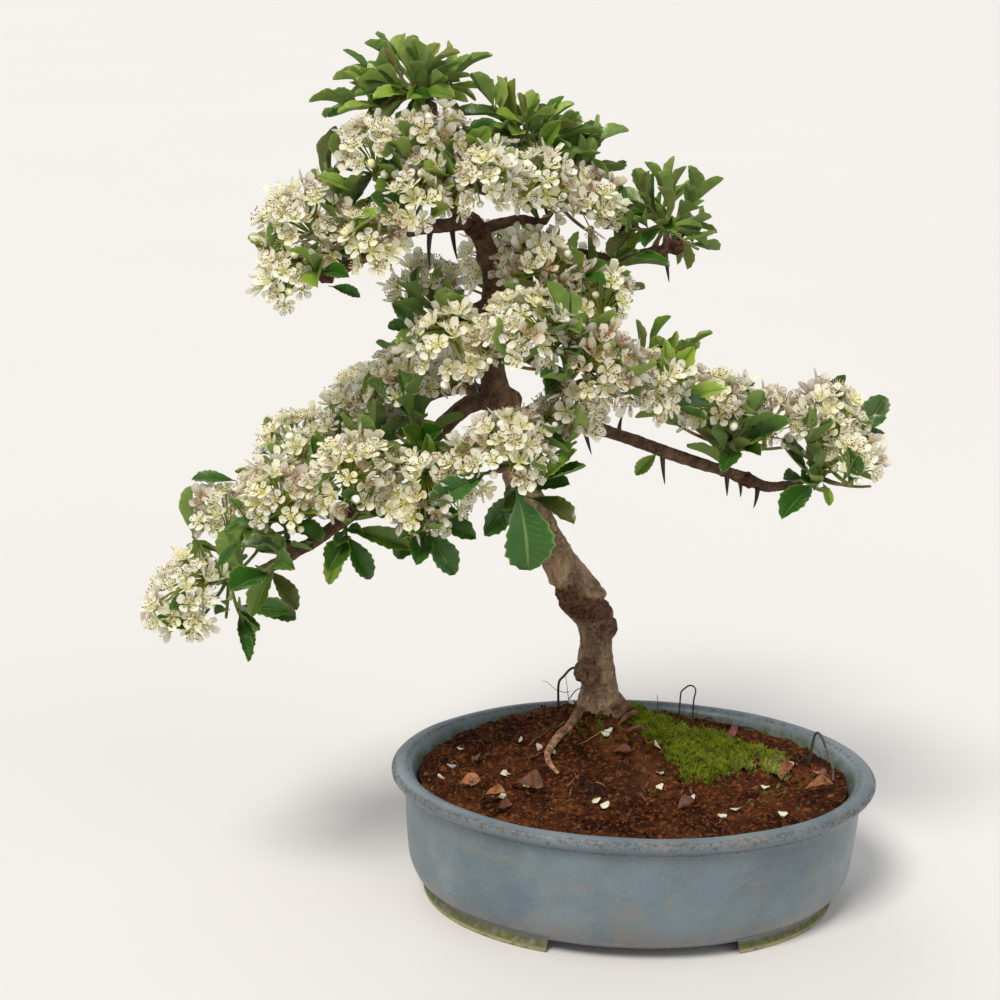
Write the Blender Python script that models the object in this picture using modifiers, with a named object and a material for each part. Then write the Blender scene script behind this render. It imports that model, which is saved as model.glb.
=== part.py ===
"""Pyracantha bonsai in flower, planted in an oval glazed pot.

Sizes are metres. Places on the plant are written in millimetres from the middle of the pot's foot,
with X along the pot, Y to its back and Z up, and mm() turns them into metres.
"""

import math
import random

import bmesh
import bpy
from mathutils import Matrix, Vector
from mathutils.bvhtree import BVHTree

# Fit
GAP = 0.0003
MERGE = 0.00001
CLEARANCE = 0.0002
PAST = 0.001

# Pot
POT_HALF_LENGTH = 0.088
POT_DEPTH_RATIO = 0.759
POT_STEPS = 32
FLOOR_UNDER = 0.0054
FLOOR_TOP = 0.0104
FOOT_GAP_HALF = 0.033
FOOT_GAP_TOP = 0.0050
DRAIN_RADIUS = 0.006
DRAINS = (("left", -0.034), ("right", 0.034))
# Half length and height round the pot's section, from the middle of its floor over the rim to the foot
POT_SECTION = [
    (0.0, FLOOR_TOP), (0.070, FLOOR_TOP), (0.0758, 0.0145), (0.0772, 0.040), (0.0798, 0.0476),
    (0.0826, 0.0495), (0.0864, 0.0490), (POT_HALF_LENGTH, 0.0470), (0.0866, 0.0446), (0.0826, 0.0425),
    (0.0818, 0.026), (0.0806, 0.014), (0.0780, 0.0080), (0.0734, 0.0050), (0.0756, 0.0), (0.0705, 0.0),
    (0.0695, FLOOR_UNDER), (0.0, FLOOR_UNDER),
]

# Soil and moss
SOIL_HALF_LENGTH = 0.0776
SOIL_WALLS = [(0.0767, 0.0405), (0.0753, 0.0150), (0.0690, FLOOR_TOP + GAP)]
SOIL_EDGE_HEIGHT = 0.0445
SOIL_MOUND = 0.0125
SOIL_MOUND_SPREAD = 0.030
SOIL_GRAIN = 0.0007
SOIL_RINGS = (0.0, 0.15, 0.34, 0.56, 0.78, 1.0)
TRUNK_HOLE_RADIUS = 0.0097
TRUNK_HOLE_DEPTH = 0.021
MOSS_HEIGHT = 0.0022
MOSS_FROM, MOSS_TO = -66, 62
MOSS_FAR_FROM, MOSS_FAR_TO = -24, 10

# Drain screens
SCREEN_SIDE = 0.020
SCREEN_THICK = 0.001
SCREEN_HOLES = 2
SCREEN_HOLE_SIDE = 0.0048

# Plant
TRUNK_LEVEL = 2
BRANCH_LEVEL = 1
SPUR_REACH = 0.004
SPUR_RADIUS = 0.0012
SPUR_FOOT_RADIUS = 0.00145
THORN_RADIUS = 0.0012
THORN_POINT_RADIUS = 0.0001
STEM_RADIUS = 0.0010
STEM_TIP_RADIUS = 0.0006
HUB_REACH = 0.003
TIP_SAG = 0.07
LINK_RADIUS = 0.0022
CORE_SHARE = 0.72
FLORET_RADIUS = 0.0084
FLORETS_PER_AREA = 24500
DOME_ANGLE = math.radians(92)
GOLDEN = math.radians(137.508)
LEAF_TRIES = 9

# Tie wires: name, radius and route of x, y and height over the soil, in millimetres
WIRES = [
    ("wire_arch", 0.6, [(-24, 47, 0), (-24, 48, 10), (-20.5, 50, 14), (-16, 49.5, 15), (-12, 46, 12),
                        (-10, 43, 0)]),
    ("wire_loop", 0.4, [(23.5, 52.5, 0), (23.5, 52.5, 9), (24, 52.3, 12), (26.5, 52, 13.5), (29, 51.5, 11.5),
                        (28.5, 51, 7), (28.5, 51, 0)]),
    ("wire_wavy", 0.6, [(32, 51, 0), (35, 50.5, 1.2), (38, 48.5, 0.2), (41, 48.5, 0.8), (45, 47, 0),
                        (49, 44, 0.6), (52, 42, 0)]),
    ("wire_hoop", 0.6, [(66, 10, 0), (66.5, 10, 5), (67.5, 10, 12), (69, 8.5, 12.6), (71, 5, 9), (72.5, 0, 4),
                        (72.5, -4, 0)]),
]

# Colours
GLAZE = (0.16, 0.27, 0.33)
SOIL_BROWN = (0.075, 0.032, 0.018)
MOSS_GREEN = (0.13, 0.24, 0.025)
BARK = (0.16, 0.105, 0.075)
LEAF_GREEN = (0.055, 0.13, 0.028)
YOUNG_GREEN = (0.16, 0.27, 0.05)
CREAM = (0.83, 0.79, 0.62)
WIRE_BLACK = (0.02, 0.018, 0.016)
SCREEN_GREEN = (0.03, 0.06, 0.04)

# Wood, one route for each branch: x, y, z and radius, in millimetres
TRUNK = [
    (-11, 28, 36, 8.4), (-11, 28, 49, 8.6), (-11, 28, 58, 8.6), (-11, 28, 69, 6.6), (-13, 27, 78, 6.9),
    (-13, 26, 87, 6.1), (-14, 26, 95, 7.2), (-18, 25, 102, 7.8), (-22, 24, 109, 7.7), (-28, 22, 118, 6.3),
    (-34, 20, 128, 6.0), (-41, 17, 143, 5.6), (-48, 14, 160, 5.3), (-52, 12, 176, 5.0), (-56, 9, 192, 4.6),
    (-57, 5, 208, 4.2), (-57, 2, 225, 3.9), (-62, -2, 240, 3.4), (-70, -4, 250, 3.0), (-76, -4, 262, 2.5),
    (-79, -3, 274, 2.1), (-79, -2, 283, 1.7),
]
BRANCHES = {
    "left": [(-51, 12, 180, 3.4), (-64, 3, 181, 3.2), (-78, -7, 170, 3.0), (-94, -14, 155, 2.7),
             (-108, -20, 144, 2.4), (-124, -22, 133, 2.1), (-138, -22, 125, 1.8)],
    "right": [(-47, 13, 170, 3.2), (-33, 4, 176, 2.8), (-19, 0, 174, 2.4), (-6, -4, 171, 2.3),
              (10, -6, 166, 2.2), (25, -4, 161, 2.1), (34, 0, 157, 2.4), (42, 2, 154, 2.0),
              (53, 6, 154, 1.7)],
    "high_left": [(-65, -3, 245, 2.4), (-86, -12, 243, 2.1), (-99, -18, 236, 1.9), (-111, -22, 230, 2.1)],
    "high_right": [(-58, 0, 233, 2.4), (-43, 5, 237, 2.1), (-29, 8, 234, 1.9), (-15, 10, 232, 1.8),
                   (3, 12, 235, 2.2)],
    "front": [(-57, 5, 206, 2.6), (-53, -10, 204, 2.2), (-45, -22, 203, 1.9), (-34, -28, 200, 1.6)],
    "front_low": [(-48, 13, 168, 2.6), (-53, -4, 167, 2.2), (-54, -15, 163, 1.8)],
    "side": [(-57, 3, 217, 2.4), (-68, -7, 214, 2.0), (-76, -10, 209, 1.6)],
    "slant": [(-56, 6, 203, 2.6), (-42, -2, 209, 2.2), (-34, -4, 212, 1.7)],
    "fork": [(-33, 4, 176, 2.2), (-28, 8, 186, 1.9), (-19, 9, 190, 1.5)],
    "back_left": [(-52, 12, 182, 2.8), (-66, 27, 181, 2.2), (-80, 32, 175, 1.7)],
    "back_right": [(-57, 4, 213, 2.6), (-47, 20, 211, 2.0), (-40, 28, 209, 1.6)],
    "top_right": [(-64, -2, 242, 2.2), (-50, -1, 246, 1.8), (-41, 0, 245, 1.5)],
    "top_back": [(-74, -4, 258, 2.2), (-67, 9, 255, 1.8), (-62, 18, 253, 1.5)],
    "crown_right": [(-78, -3, 270, 1.9), (-66, 3, 274, 1.6), (-56, 6, 274, 1.4)],
}
# Knots: x, y, z and radius
KNOTS = [(-16, 22, 77, 4.2), (-10, 23, 94, 4.2), (-24, 19, 107, 4.0), (-37, 17, 129, 3.2), (-6, 26, 62, 3.8),
         (34, -1, 157, 2.9), (-64, -5, 243, 3.2), (6, 12, 236, 2.8), (-113, -22, 229, 2.6)]
# Thorns: foot and point
THORNS = [
    ((-24, 2, 175), (-21, -1, 165)), ((3, -5, 168), (4, -9, 157)), ((26, -4, 161), (26, -8, 153)),
    ((31, -1, 158), (33, 5, 149)), ((38, 1, 155), (36, -5, 148)), ((-79, -9, 244), (-79, -14, 231)),
    ((-72, -6, 245), (-70, -15, 234)), ((-91, -15, 241), (-92, -22, 231)), ((2, 12, 235), (4, 10, 224)),
    ((5, 12, 236), (12, 18, 242)), ((-22, 9, 233), (-25, 18, 228)), ((-38, 6, 236), (-34, 16, 241)),
    ((-12, -3, 172), (-10, 6, 178)), ((-60, 6, 182), (-62, 16, 188)), ((-72, 29, 179), (-73, 40, 176)),
    ((-44, 15, 158), (-37, 23, 161)), ((-55, 8, 196), (-47, 12, 198)), ((-98, -17, 152), (-97, -6, 147)),
]
# Surface root: x, y, height of its underside over the soil, and radius
SURFACE_ROOT = [(-13, 26, 2.6, 2.6), (-22, 19, 0.8, 2.0), (-30, 9, 0.6, 1.6), (-31, 0, 0.6, 1.3),
                (-28, -7, 0.6, 1.0)]

# Leafy stems: branch, place on its route, bloom clusters (one list for each node, with x, y, z and
# radius of each head) and leafy tips (x, y, z)
SPRAYS = {
    "left_tip": ("left", 6, [[(-157, -24, 118, 15)], [(-146, 3, 137, 14)]], [(-141, -22, 112)]),
    "left_outer": ("left", 5, [[(-127, -35, 156, 15)], [(-121, 5, 162, 15)]], [(-130, -40, 133)]),
    "left_middle": ("left", 4, [[(-103, -43, 167, 14)], [(-99, 3, 176, 14)]], [(-105, -32, 143)]),
    "left_inner": ("left", 2, [[(-79, -41, 161, 14)], [(-86, -9, 190, 14)]], [(-79, -34, 146)]),
    "back_left": ("back_left", 2, [[(-98, 36, 174, 14)], [(-71, 44, 190, 14)]], [(-84, 46, 160)]),
    "middle": ("front_low", 2, [[(-53, -42, 176, 15), (-33, -34, 187, 11)]], [(-45, -32, 158)]),
    "upper_left": ("side", 2, [[(-79, -6, 220, 13)], [(-72, -33, 208, 14)]], []),
    "upper_front": ("front", 3, [[(-48, -43, 217, 14)], [(-24, -44, 206, 13), (-6, -32, 197, 12)]], []),
    "upper_top": ("slant", 2, [[(-44, -13, 232, 13), (-23, -14, 221, 13)]], [(-16, 2, 232)]),
    "back_right": ("back_right", 2, [[(-22, 38, 216, 14)], [(-54, 38, 224, 14)]], [(-30, 48, 196)]),
    "fork": ("fork", 2, [], [(-3, -2, 202), (9, 3, 198)]),
    "right_middle": ("right", 5, [[(20, -13, 186, 12), (39, 3, 177, 13)], [(13, 19, 181, 12)]],
                     [(28, -14, 170)]),
    "right_tip": ("right", 8, [[(59, -3, 178, 14), (67, -18, 168, 10)]], [(73, 10, 167), (55, -14, 158)]),
    "high_left": ("high_left", 3, [[(-125, -33, 230, 10), (-121, -25, 246, 14)], [(-99, -36, 243, 12)]],
                  [(-111, -12, 254)]),
    "top_front": ("trunk", 19, [[(-79, -23, 274, 12), (-98, -23, 269, 12)], [(-63, -30, 262, 12)],
                                [(-84, -38, 257, 10)]], []),
    "top_right": ("top_right", 2, [[(-27, -6, 252, 11), (-45, -14, 260, 12)]], [(-28, 10, 262)]),
    "top_back": ("top_back", 2, [[(-82, 26, 264, 13)], [(-46, 29, 258, 13)]], [(-66, 38, 246)]),
    "crown": ("trunk", 21, [], [(-106, -8, 282), (-99, -2, 291), (-92, 6, 295), (-82, -6, 296),
                                (-73, 4, 290)]),
    "crown_right": ("crown_right", 2, [], [(-59, -2, 283), (-47, 10, 277), (-36, 4, 274), (-26, 9, 268),
                                           (-42, -7, 268)]),
    "far_right": ("high_right", 4, [], [(-5, 8, 251), (3, 14, 253), (10, 6, 252), (-12, 1, 244),
                                        (12, 22, 236)]),
}
HEAD_LEAVES = 1
TIP_LEAVES = 3
YOUNG_TIP_LEAVES = 4
LEAF_LENGTH = (0.019, 0.024)
YOUNG_LENGTH = (0.0135, 0.0165)
LEAF_ROOT = -0.028
BLADE_ROOT = 0.2
YOUNG_SPRAYS = ("fork", "crown", "crown_right", "far_right")


def mm(*values):
    """A point given in millimetres, in metres."""
    return Vector(values) * 0.001


def smooth_route(points, spans):
    """Points on a smooth curve through a route of x, y, z and radius, with so many spans a stretch."""
    rows = [Vector(p) for p in points]
    rows = [rows[0] * 2 - rows[1]] + rows + [rows[-1] * 2 - rows[-2]]
    out = []
    for i in range(1, len(rows) - 2):
        a, b, c, d = rows[i - 1:i + 3]
        for k in range(spans):
            t = k / spans
            out.append(0.5 * ((2 * b) + (c - a) * t + (2 * a - 5 * b + 4 * c - d) * t * t
                              + (3 * b - a - 3 * c + d) * t * t * t))
    out.append(rows[-2])
    return out


def material(name, colour, roughness):
    """A Principled material of one colour."""
    made = bpy.data.materials.new(name)
    made.use_nodes = True
    shader = made.node_tree.nodes["Principled BSDF"]
    shader.inputs["Base Color"].default_value = (*colour, 1.0)
    shader.inputs["Roughness"].default_value = roughness
    shader.inputs["Metallic"].default_value = 0.0
    return made


def new_object(name, mesh, collection, finish=None):
    """An object for a mesh, linked to a collection."""
    made = bpy.data.objects.new(name, mesh)
    collection.objects.link(made)
    if finish is not None:
        mesh.materials.clear()
        mesh.materials.append(finish)
    return made


def mesh_from_bmesh(name, bm):
    """Turns a bmesh into a mesh with outward faces and frees it."""
    bmesh.ops.recalc_face_normals(bm, faces=bm.faces)
    mesh = bpy.data.meshes.new(name)
    bm.to_mesh(mesh)
    bm.free()
    return mesh


def evaluated_mesh(obj):
    """The mesh of an object with its modifiers or curve settings applied."""
    bpy.context.view_layer.update()
    graph = bpy.context.evaluated_depsgraph_get()
    return bpy.data.meshes.new_from_object(obj.evaluated_get(graph))


def tube(name, rows, level, collection):
    """A tapered round bar through rows of position and radius, in metres, with closed ends."""
    curve = bpy.data.curves.new(name, "CURVE")
    curve.dimensions = "3D"
    curve.bevel_depth = 1.0
    curve.bevel_resolution = level
    curve.use_fill_caps = True
    spline = curve.splines.new("POLY")
    spline.points.add(len(rows) - 1)
    for point, row in zip(spline.points, rows):
        point.co = (row[0], row[1], row[2], 1.0)
        point.radius = row[3]
    guide = bpy.data.objects.new(name, curve)
    bpy.context.scene.collection.objects.link(guide)
    mesh = evaluated_mesh(guide)
    bpy.data.objects.remove(guide)
    bpy.data.curves.remove(curve)
    bm = bmesh.new()
    bm.from_mesh(mesh)
    bpy.data.meshes.remove(mesh)
    bmesh.ops.remove_doubles(bm, verts=bm.verts, dist=MERGE)
    return new_object(name, mesh_from_bmesh(name, bm), collection)


def fuse(name, pieces, finish, collection):
    """Joins closed pieces into one body with a single union."""
    body = pieces[0]
    group = bpy.data.collections.new(name + "_pieces")
    bpy.context.scene.collection.children.link(group)
    for piece in pieces[1:]:
        for home in list(piece.users_collection):
            home.objects.unlink(piece)
        group.objects.link(piece)
    if len(pieces) > 1:
        union = body.modifiers.new("union", "BOOLEAN")
        union.operand_type = "COLLECTION"
        union.collection = group
        union.operation = "UNION"
        union.solver = "EXACT"
    mesh = evaluated_mesh(body)
    mesh.transform(body.matrix_world)
    for piece in pieces:
        bpy.data.objects.remove(piece)
    bpy.data.collections.remove(group)
    mesh.name = name
    return new_object(name, mesh, collection, finish)


def cut(target, cutter):
    """Takes a cutter's shape out of a target, and keeps the cutter as a hidden guide."""
    cutter.hide_render = True
    cutter.display_type = "WIRE"
    difference = target.modifiers.new(cutter.name, "BOOLEAN")
    difference.operation = "DIFFERENCE"
    difference.object = cutter


def box(name, low, high, collection):
    """A box between two corners."""
    bm = bmesh.new()
    size = Vector(high) - Vector(low)
    middle = (Vector(high) + Vector(low)) / 2
    bmesh.ops.create_cube(bm, size=1.0, matrix=Matrix.Translation(middle) @ Matrix.Diagonal((*size, 1.0)))
    return new_object(name, mesh_from_bmesh(name, bm), collection)


def apply_modifiers(obj):
    """Replaces an object's mesh by what its modifiers make of it."""
    mesh = evaluated_mesh(obj)
    obj.modifiers.clear()
    obj.data = mesh


def make_pot(parts, cutters, finish):
    """The turned pot, squeezed to an oval, with two curved feet and two drain holes."""
    bm = bmesh.new()
    verts = [bm.verts.new((x, 0.0, z)) for x, z in POT_SECTION]
    for a, b in zip(verts, verts[1:]):
        bm.edges.new((a, b))
    mesh = bpy.data.meshes.new("pot_profile")
    bm.to_mesh(mesh)
    bm.free()
    pot = new_object("pot", mesh, parts)
    screw = pot.modifiers.new("turn", "SCREW")
    screw.steps = POT_STEPS
    screw.render_steps = POT_STEPS
    screw.use_merge_vertices = True
    screw.merge_threshold = 0.0001
    apply_modifiers(pot)
    pot.data.transform(Matrix.Diagonal((1.0, POT_DEPTH_RATIO, 1.0, 1.0)))
    low = (-FOOT_GAP_HALF, -POT_HALF_LENGTH, -PAST)
    high = (FOOT_GAP_HALF, POT_HALF_LENGTH, FOOT_GAP_TOP)
    cut(pot, box("foot_gap", low, high, cutters))
    middle, depth = (FLOOR_UNDER + FLOOR_TOP) / 2, FLOOR_TOP - FLOOR_UNDER + 2 * PAST
    for side, x in DRAINS:
        bm = bmesh.new()
        bmesh.ops.create_cone(bm, cap_ends=True, segments=16, radius1=DRAIN_RADIUS, radius2=DRAIN_RADIUS,
                              depth=depth, matrix=Matrix.Translation((x, 0.0, middle)))
        cut(pot, new_object("drain_" + side, mesh_from_bmesh("drain_" + side, bm), cutters))
    pot.data.materials.append(finish)
    pot.data.shade_smooth()
    pot.data.set_sharp_from_angle(angle=math.radians(40))
    return pot


def soil_height(x, y):
    """The height of the soil's surface, mounded at the trunk."""
    trunk_x, trunk_y = TRUNK[1][0] * 0.001, TRUNK[1][1] * 0.001
    far = math.hypot(x - trunk_x, y - trunk_y)
    mound = SOIL_MOUND * math.exp(-(far / SOIL_MOUND_SPREAD) ** 2)
    grain = math.sin(x * 410 + 1.3) * math.cos(y * 370 - 0.4) + 0.6 * math.sin(x * 890 + y * 760)
    return SOIL_EDGE_HEIGHT + mound + SOIL_GRAIN * grain


def soil_grid():
    """Rings of surface points from the trunk's hole out to the pot's wall."""
    middle = Vector((TRUNK[1][0] * 0.001, TRUNK[1][1] * 0.001))
    rings = []
    for share in SOIL_RINGS:
        ring = []
        for k in range(POT_STEPS):
            turn = 2 * math.pi * k / POT_STEPS
            edge = SOIL_HALF_LENGTH * Vector((math.cos(turn), POT_DEPTH_RATIO * math.sin(turn)))
            inner = middle + (edge - middle).normalized() * TRUNK_HOLE_RADIUS
            spot = inner.lerp(edge, share)
            ring.append(Vector((spot.x, spot.y, soil_height(spot.x, spot.y))))
        rings.append(ring)
    return rings


def skin_rings(bm, rings, close_last=True):
    """Faces between successive rings of points, each cell split the same way."""
    made = [[bm.verts.new(p) for p in ring] for ring in rings]
    for low, high in zip(made, made[1:]):
        for k in range(len(low)):
            n = (k + 1) % len(low)
            bm.faces.new((low[k], low[n], high[n]))
            bm.faces.new((low[k], high[n], high[k]))
    return made


def make_soil(parts, cutters, finish):
    """Soil that fills the pot, with a blind hole for the trunk and room for the drain screens."""
    rings = soil_grid()
    edge = rings[-1]
    for half, z in SOIL_WALLS:
        share = half / SOIL_HALF_LENGTH
        rings.append([Vector((p.x * share, p.y * share, z)) for p in edge])
    hole_floor = [Vector((p.x, p.y, p.z - TRUNK_HOLE_DEPTH)) for p in rings[0]]
    bm = bmesh.new()
    made = skin_rings(bm, [hole_floor] + rings)
    bm.faces.new(made[0])
    bm.faces.new(made[-1])
    bmesh.ops.triangulate(bm, faces=[f for f in bm.faces if len(f.verts) > 3])
    soil = new_object("soil", mesh_from_bmesh("soil", bm), parts, finish)
    half = SCREEN_SIDE / 2 + GAP
    for side, x in DRAINS:
        low = (x - half, -half, FLOOR_TOP - PAST)
        high = (x + half, half, FLOOR_TOP + SCREEN_THICK + 2 * GAP)
        cut(soil, box("screen_room_" + side, low, high, cutters))
    return soil


def make_moss(parts, finish):
    """A low lumpy cushion over part of the soil's grid, just clear of it."""
    rings = soil_grid()
    draw = random.Random(5)
    middle = Vector((TRUNK[1][0] * 0.001, TRUNK[1][1] * 0.001))
    reach = {}
    for k in range(POT_STEPS):
        edge = rings[-1][k]
        turn = math.degrees(math.atan2(edge.y - middle.y, edge.x - middle.x))
        if MOSS_FROM <= turn <= MOSS_TO:
            reach[k] = 4 if MOSS_FAR_FROM <= turn <= MOSS_FAR_TO else 3
    bm = bmesh.new()
    low, high = {}, {}
    cells = [(r, k) for k in reach for r in range(1, reach[k]) if (k + 1) % POT_STEPS in reach]
    corners = {}
    for r, k in cells:
        n = (k + 1) % POT_STEPS
        for corner in ((r, k), (r, n), (r + 1, n), (r + 1, k)):
            corners[corner] = corners.get(corner, 0) + 1
    for corner, uses in corners.items():
        spot = rings[corner[0]][corner[1]]
        tall = MOSS_HEIGHT * (draw.uniform(0.75, 1.5) if uses == 4 else 0.4)
        low[corner] = bm.verts.new(spot + Vector((0, 0, GAP)))
        high[corner] = bm.verts.new(spot + Vector((0, 0, GAP + tall)))
    edges = {}
    for r, k in cells:
        n = (k + 1) % POT_STEPS
        a, b, c, d = (r, k), (r, n), (r + 1, n), (r + 1, k)
        for level in (low, high):
            bm.faces.new((level[a], level[b], level[c]))
            bm.faces.new((level[a], level[c], level[d]))
        for start, end in ((a, b), (b, c), (c, d), (d, a)):
            if (end, start) in edges:
                edges.pop((end, start))
            else:
                edges[(start, end)] = True
    for start, end in edges:
        bm.faces.new((low[start], low[end], high[end]))
        bm.faces.new((low[start], high[end], high[start]))
    return new_object("moss", mesh_from_bmesh("moss", bm), parts, finish)


def make_screens(parts, cutters, finish):
    """A square mesh plate over each drain hole."""
    half = SCREEN_SIDE / 2
    low_z, high_z = FLOOR_TOP + GAP, FLOOR_TOP + GAP + SCREEN_THICK
    pitch = SCREEN_SIDE / (SCREEN_HOLES + 1)
    for side, x in DRAINS:
        plate = box("drain_screen_" + side, (x - half, -half, low_z), (x + half, half, high_z), parts)
        bm = bmesh.new()
        for i in range(SCREEN_HOLES):
            for j in range(SCREEN_HOLES):
                spot = Vector((x - half + pitch * (i + 1), -half + pitch * (j + 1), (low_z + high_z) / 2))
                size = Matrix.Diagonal((SCREEN_HOLE_SIDE, SCREEN_HOLE_SIDE, SCREEN_THICK + 2 * PAST, 1.0))
                bmesh.ops.create_cube(bm, size=1.0, matrix=Matrix.Translation(spot) @ size)
        name = "screen_holes_" + side
        cut(plate, new_object(name, mesh_from_bmesh(name, bm), cutters))
        plate.data.materials.append(finish)


def surface_tree(obj):
    """A search tree of an object's faces."""
    mesh = obj.data
    spots = [v.co.copy() for v in mesh.vertices]
    return BVHTree.FromPolygons(spots, [tuple(p.vertices) for p in mesh.polygons])


def on_ground(ground, x, y, lift):
    """The point a lift above the soil at x, y."""
    hit = ground.ray_cast(Vector((x, y, 0.2)), Vector((0, 0, -1)))[0]
    surface = soil_height(x, y)
    over_hole = hit.z < surface - TRUNK_HOLE_DEPTH / 2
    return Vector((x, y, (surface if over_hole else hit.z) + lift))


def make_wires(parts, ground, finish):
    """The tie wires that show above the soil."""
    for name, radius, route in WIRES:
        rows = []
        for spot in route:
            x, y, clear = mm(*spot)
            rows.append((*on_ground(ground, x, y, clear + GAP + radius * 0.001), radius * 0.001))
        wire = tube(name, rows, 1, parts)
        wire.data.materials.append(finish)


def routes():
    """Every branch route by name, in metres."""
    named = {"trunk": TRUNK, **BRANCHES}
    return {name: [Vector(p) * 0.001 for p in route] for name, route in named.items()}


def thorn(foot, point, collection):
    """A slim three-sided spine from its foot to its point."""
    way = point - foot
    bm = bmesh.new()
    turn = way.to_track_quat("Z", "Y").to_matrix().to_4x4()
    bmesh.ops.create_cone(bm, cap_ends=True, segments=3, radius1=THORN_RADIUS, radius2=THORN_POINT_RADIUS,
                          depth=way.length, matrix=Matrix.Translation((foot + point) / 2) @ turn)
    return new_object("thorn", mesh_from_bmesh("thorn", bm), collection)


def make_wood(parts, work, ground, finish):
    """Trunk, branches, spurs, knots, thorns and a surface root, fused as they grew."""
    pieces = []
    for branch, route in routes().items():
        rows = smooth_route(route, 2 if len(route) > 4 else 1)
        for name, spray in SPRAYS.items():
            start, way, far = spur(name)
            end = (*(start + way * far), SPUR_RADIUS)
            if spray[:2] == (branch, len(route) - 1):
                rows.append(end)
            elif spray[0] == branch:
                pieces.append(tube("spur", [(*start, SPUR_FOOT_RADIUS), end], 0, work))
        pieces.append(tube(branch, rows, TRUNK_LEVEL if branch == "trunk" else BRANCH_LEVEL, work))
    rows = []
    for row in smooth_route(SURFACE_ROOT, 3):
        x, y, clear, radius = row * 0.001
        rows.append((*on_ground(ground, x, y, clear + radius), radius))
    pieces.append(tube("surface_root", rows, BRANCH_LEVEL, work))
    for x, y, z, radius in KNOTS:
        bm = bmesh.new()
        place = Matrix.Translation(mm(x, y, z))
        bmesh.ops.create_icosphere(bm, subdivisions=1, radius=radius * 0.001, matrix=place)
        pieces.append(new_object("knot", mesh_from_bmesh("knot", bm), work))
    for foot, point in THORNS:
        pieces.append(thorn(mm(*foot), mm(*point), work))
    return fuse("wood", pieces, finish, parts)


def head_places(name):
    """The middle and radius of each head of a spray."""
    return [(mm(*head[:3]), head[3] * 0.001) for group in SPRAYS[name][2] for head in group]


def hub(name):
    """The place where a spray's stem divides."""
    branch, place, clusters, tips = SPRAYS[name]
    row = routes()[branch][place]
    ends = [middle for middle, size in head_places(name)] + [mm(*tip) for tip in tips]
    way = sum(ends, Vector()) / len(ends) - row.xyz
    far = max(way.length * 0.36, row[3] + SPUR_REACH + HUB_REACH)
    return row.xyz + way.normalized() * far


def spur(name):
    """The woody spur of a spray: its start on the branch's axis, direction and length."""
    branch, place = SPRAYS[name][:2]
    row = routes()[branch][place]
    return row.xyz, (hub(name) - row.xyz).normalized(), row[3] + SPUR_REACH


def cluster_seats(name):
    """For each cluster of a spray, the middle, radius and stem direction of the head that the stem holds."""
    middle = hub(name)
    seats = []
    for group in SPRAYS[name][2]:
        place = mm(*group[0][:3])
        seats.append((place, group[0][3] * 0.001, (place - middle).normalized()))
    return seats


def spray_stems(name):
    """Stems of a spray as (points, leaf count): the first runs from the spur to the hub."""
    start, way, far = spur(name)
    middle = hub(name)
    stems = [([start + way * (far + GAP), middle + way * STEM_RADIUS], 0)]
    for centre, size, out in cluster_seats(name):
        stems.append(([middle - out * STEM_RADIUS, centre - out * (CORE_SHARE * size + GAP)], HEAD_LEAVES))
    for tip in SPRAYS[name][3]:
        end = mm(*tip)
        out = (end - middle).normalized()
        bend = middle.lerp(end, 0.5) - Vector((0, 0, TIP_SAG * (end - middle).length))
        count = YOUNG_TIP_LEAVES if name in YOUNG_SPRAYS else TIP_LEAVES
        stems.append(([middle - out * STEM_RADIUS, bend, end], count))
    return stems


def along(points, share):
    """The point and direction at a share of the way along a stem."""
    spans = len(points) - 1
    k = min(int(share * spans), spans - 1)
    way = points[k + 1] - points[k]
    return points[k] + way * (share * spans - k), way.normalized()


def leaf_tries(name, stem, points, count, k):
    """Placings to try for one leaf: its foot, direction, upper side and length."""
    leafy_tip = count > HEAD_LEAVES
    shortest, longest = YOUNG_LENGTH if name in YOUNG_SPRAYS else LEAF_LENGTH
    for attempt in range(LEAF_TRIES):
        draw = random.Random(f"{name} {stem} {k} {attempt}")
        share = 0.30 + 0.68 * (k + 1) / count if leafy_tip else 0.25 + 0.5 * draw.random()
        spot, way = along(points, share)
        side = way.cross(Vector((0, 0, 1)))
        side = side.normalized() if side.length > 0.1 else Vector((1, 0, 0))
        other = way.cross(side)
        turn = GOLDEN * (k + stem) + draw.uniform(-0.5, 0.5) * (1 + attempt)
        spread = side * math.cos(turn) + other * math.sin(turn)
        lean = 0.3 if leafy_tip and k == count - 1 else draw.uniform(0.75, 1.15)
        aim = (way * math.cos(lean) + spread * math.sin(lean) + Vector((0, 0, 0.12))).normalized()
        face = way * 0.7 + Vector((0, 0, 0.9))
        face = (face - aim * face.dot(aim)).normalized()
        yield spot, aim, face, draw.uniform(shortest, longest) * (1 - 0.045 * attempt)


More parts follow.
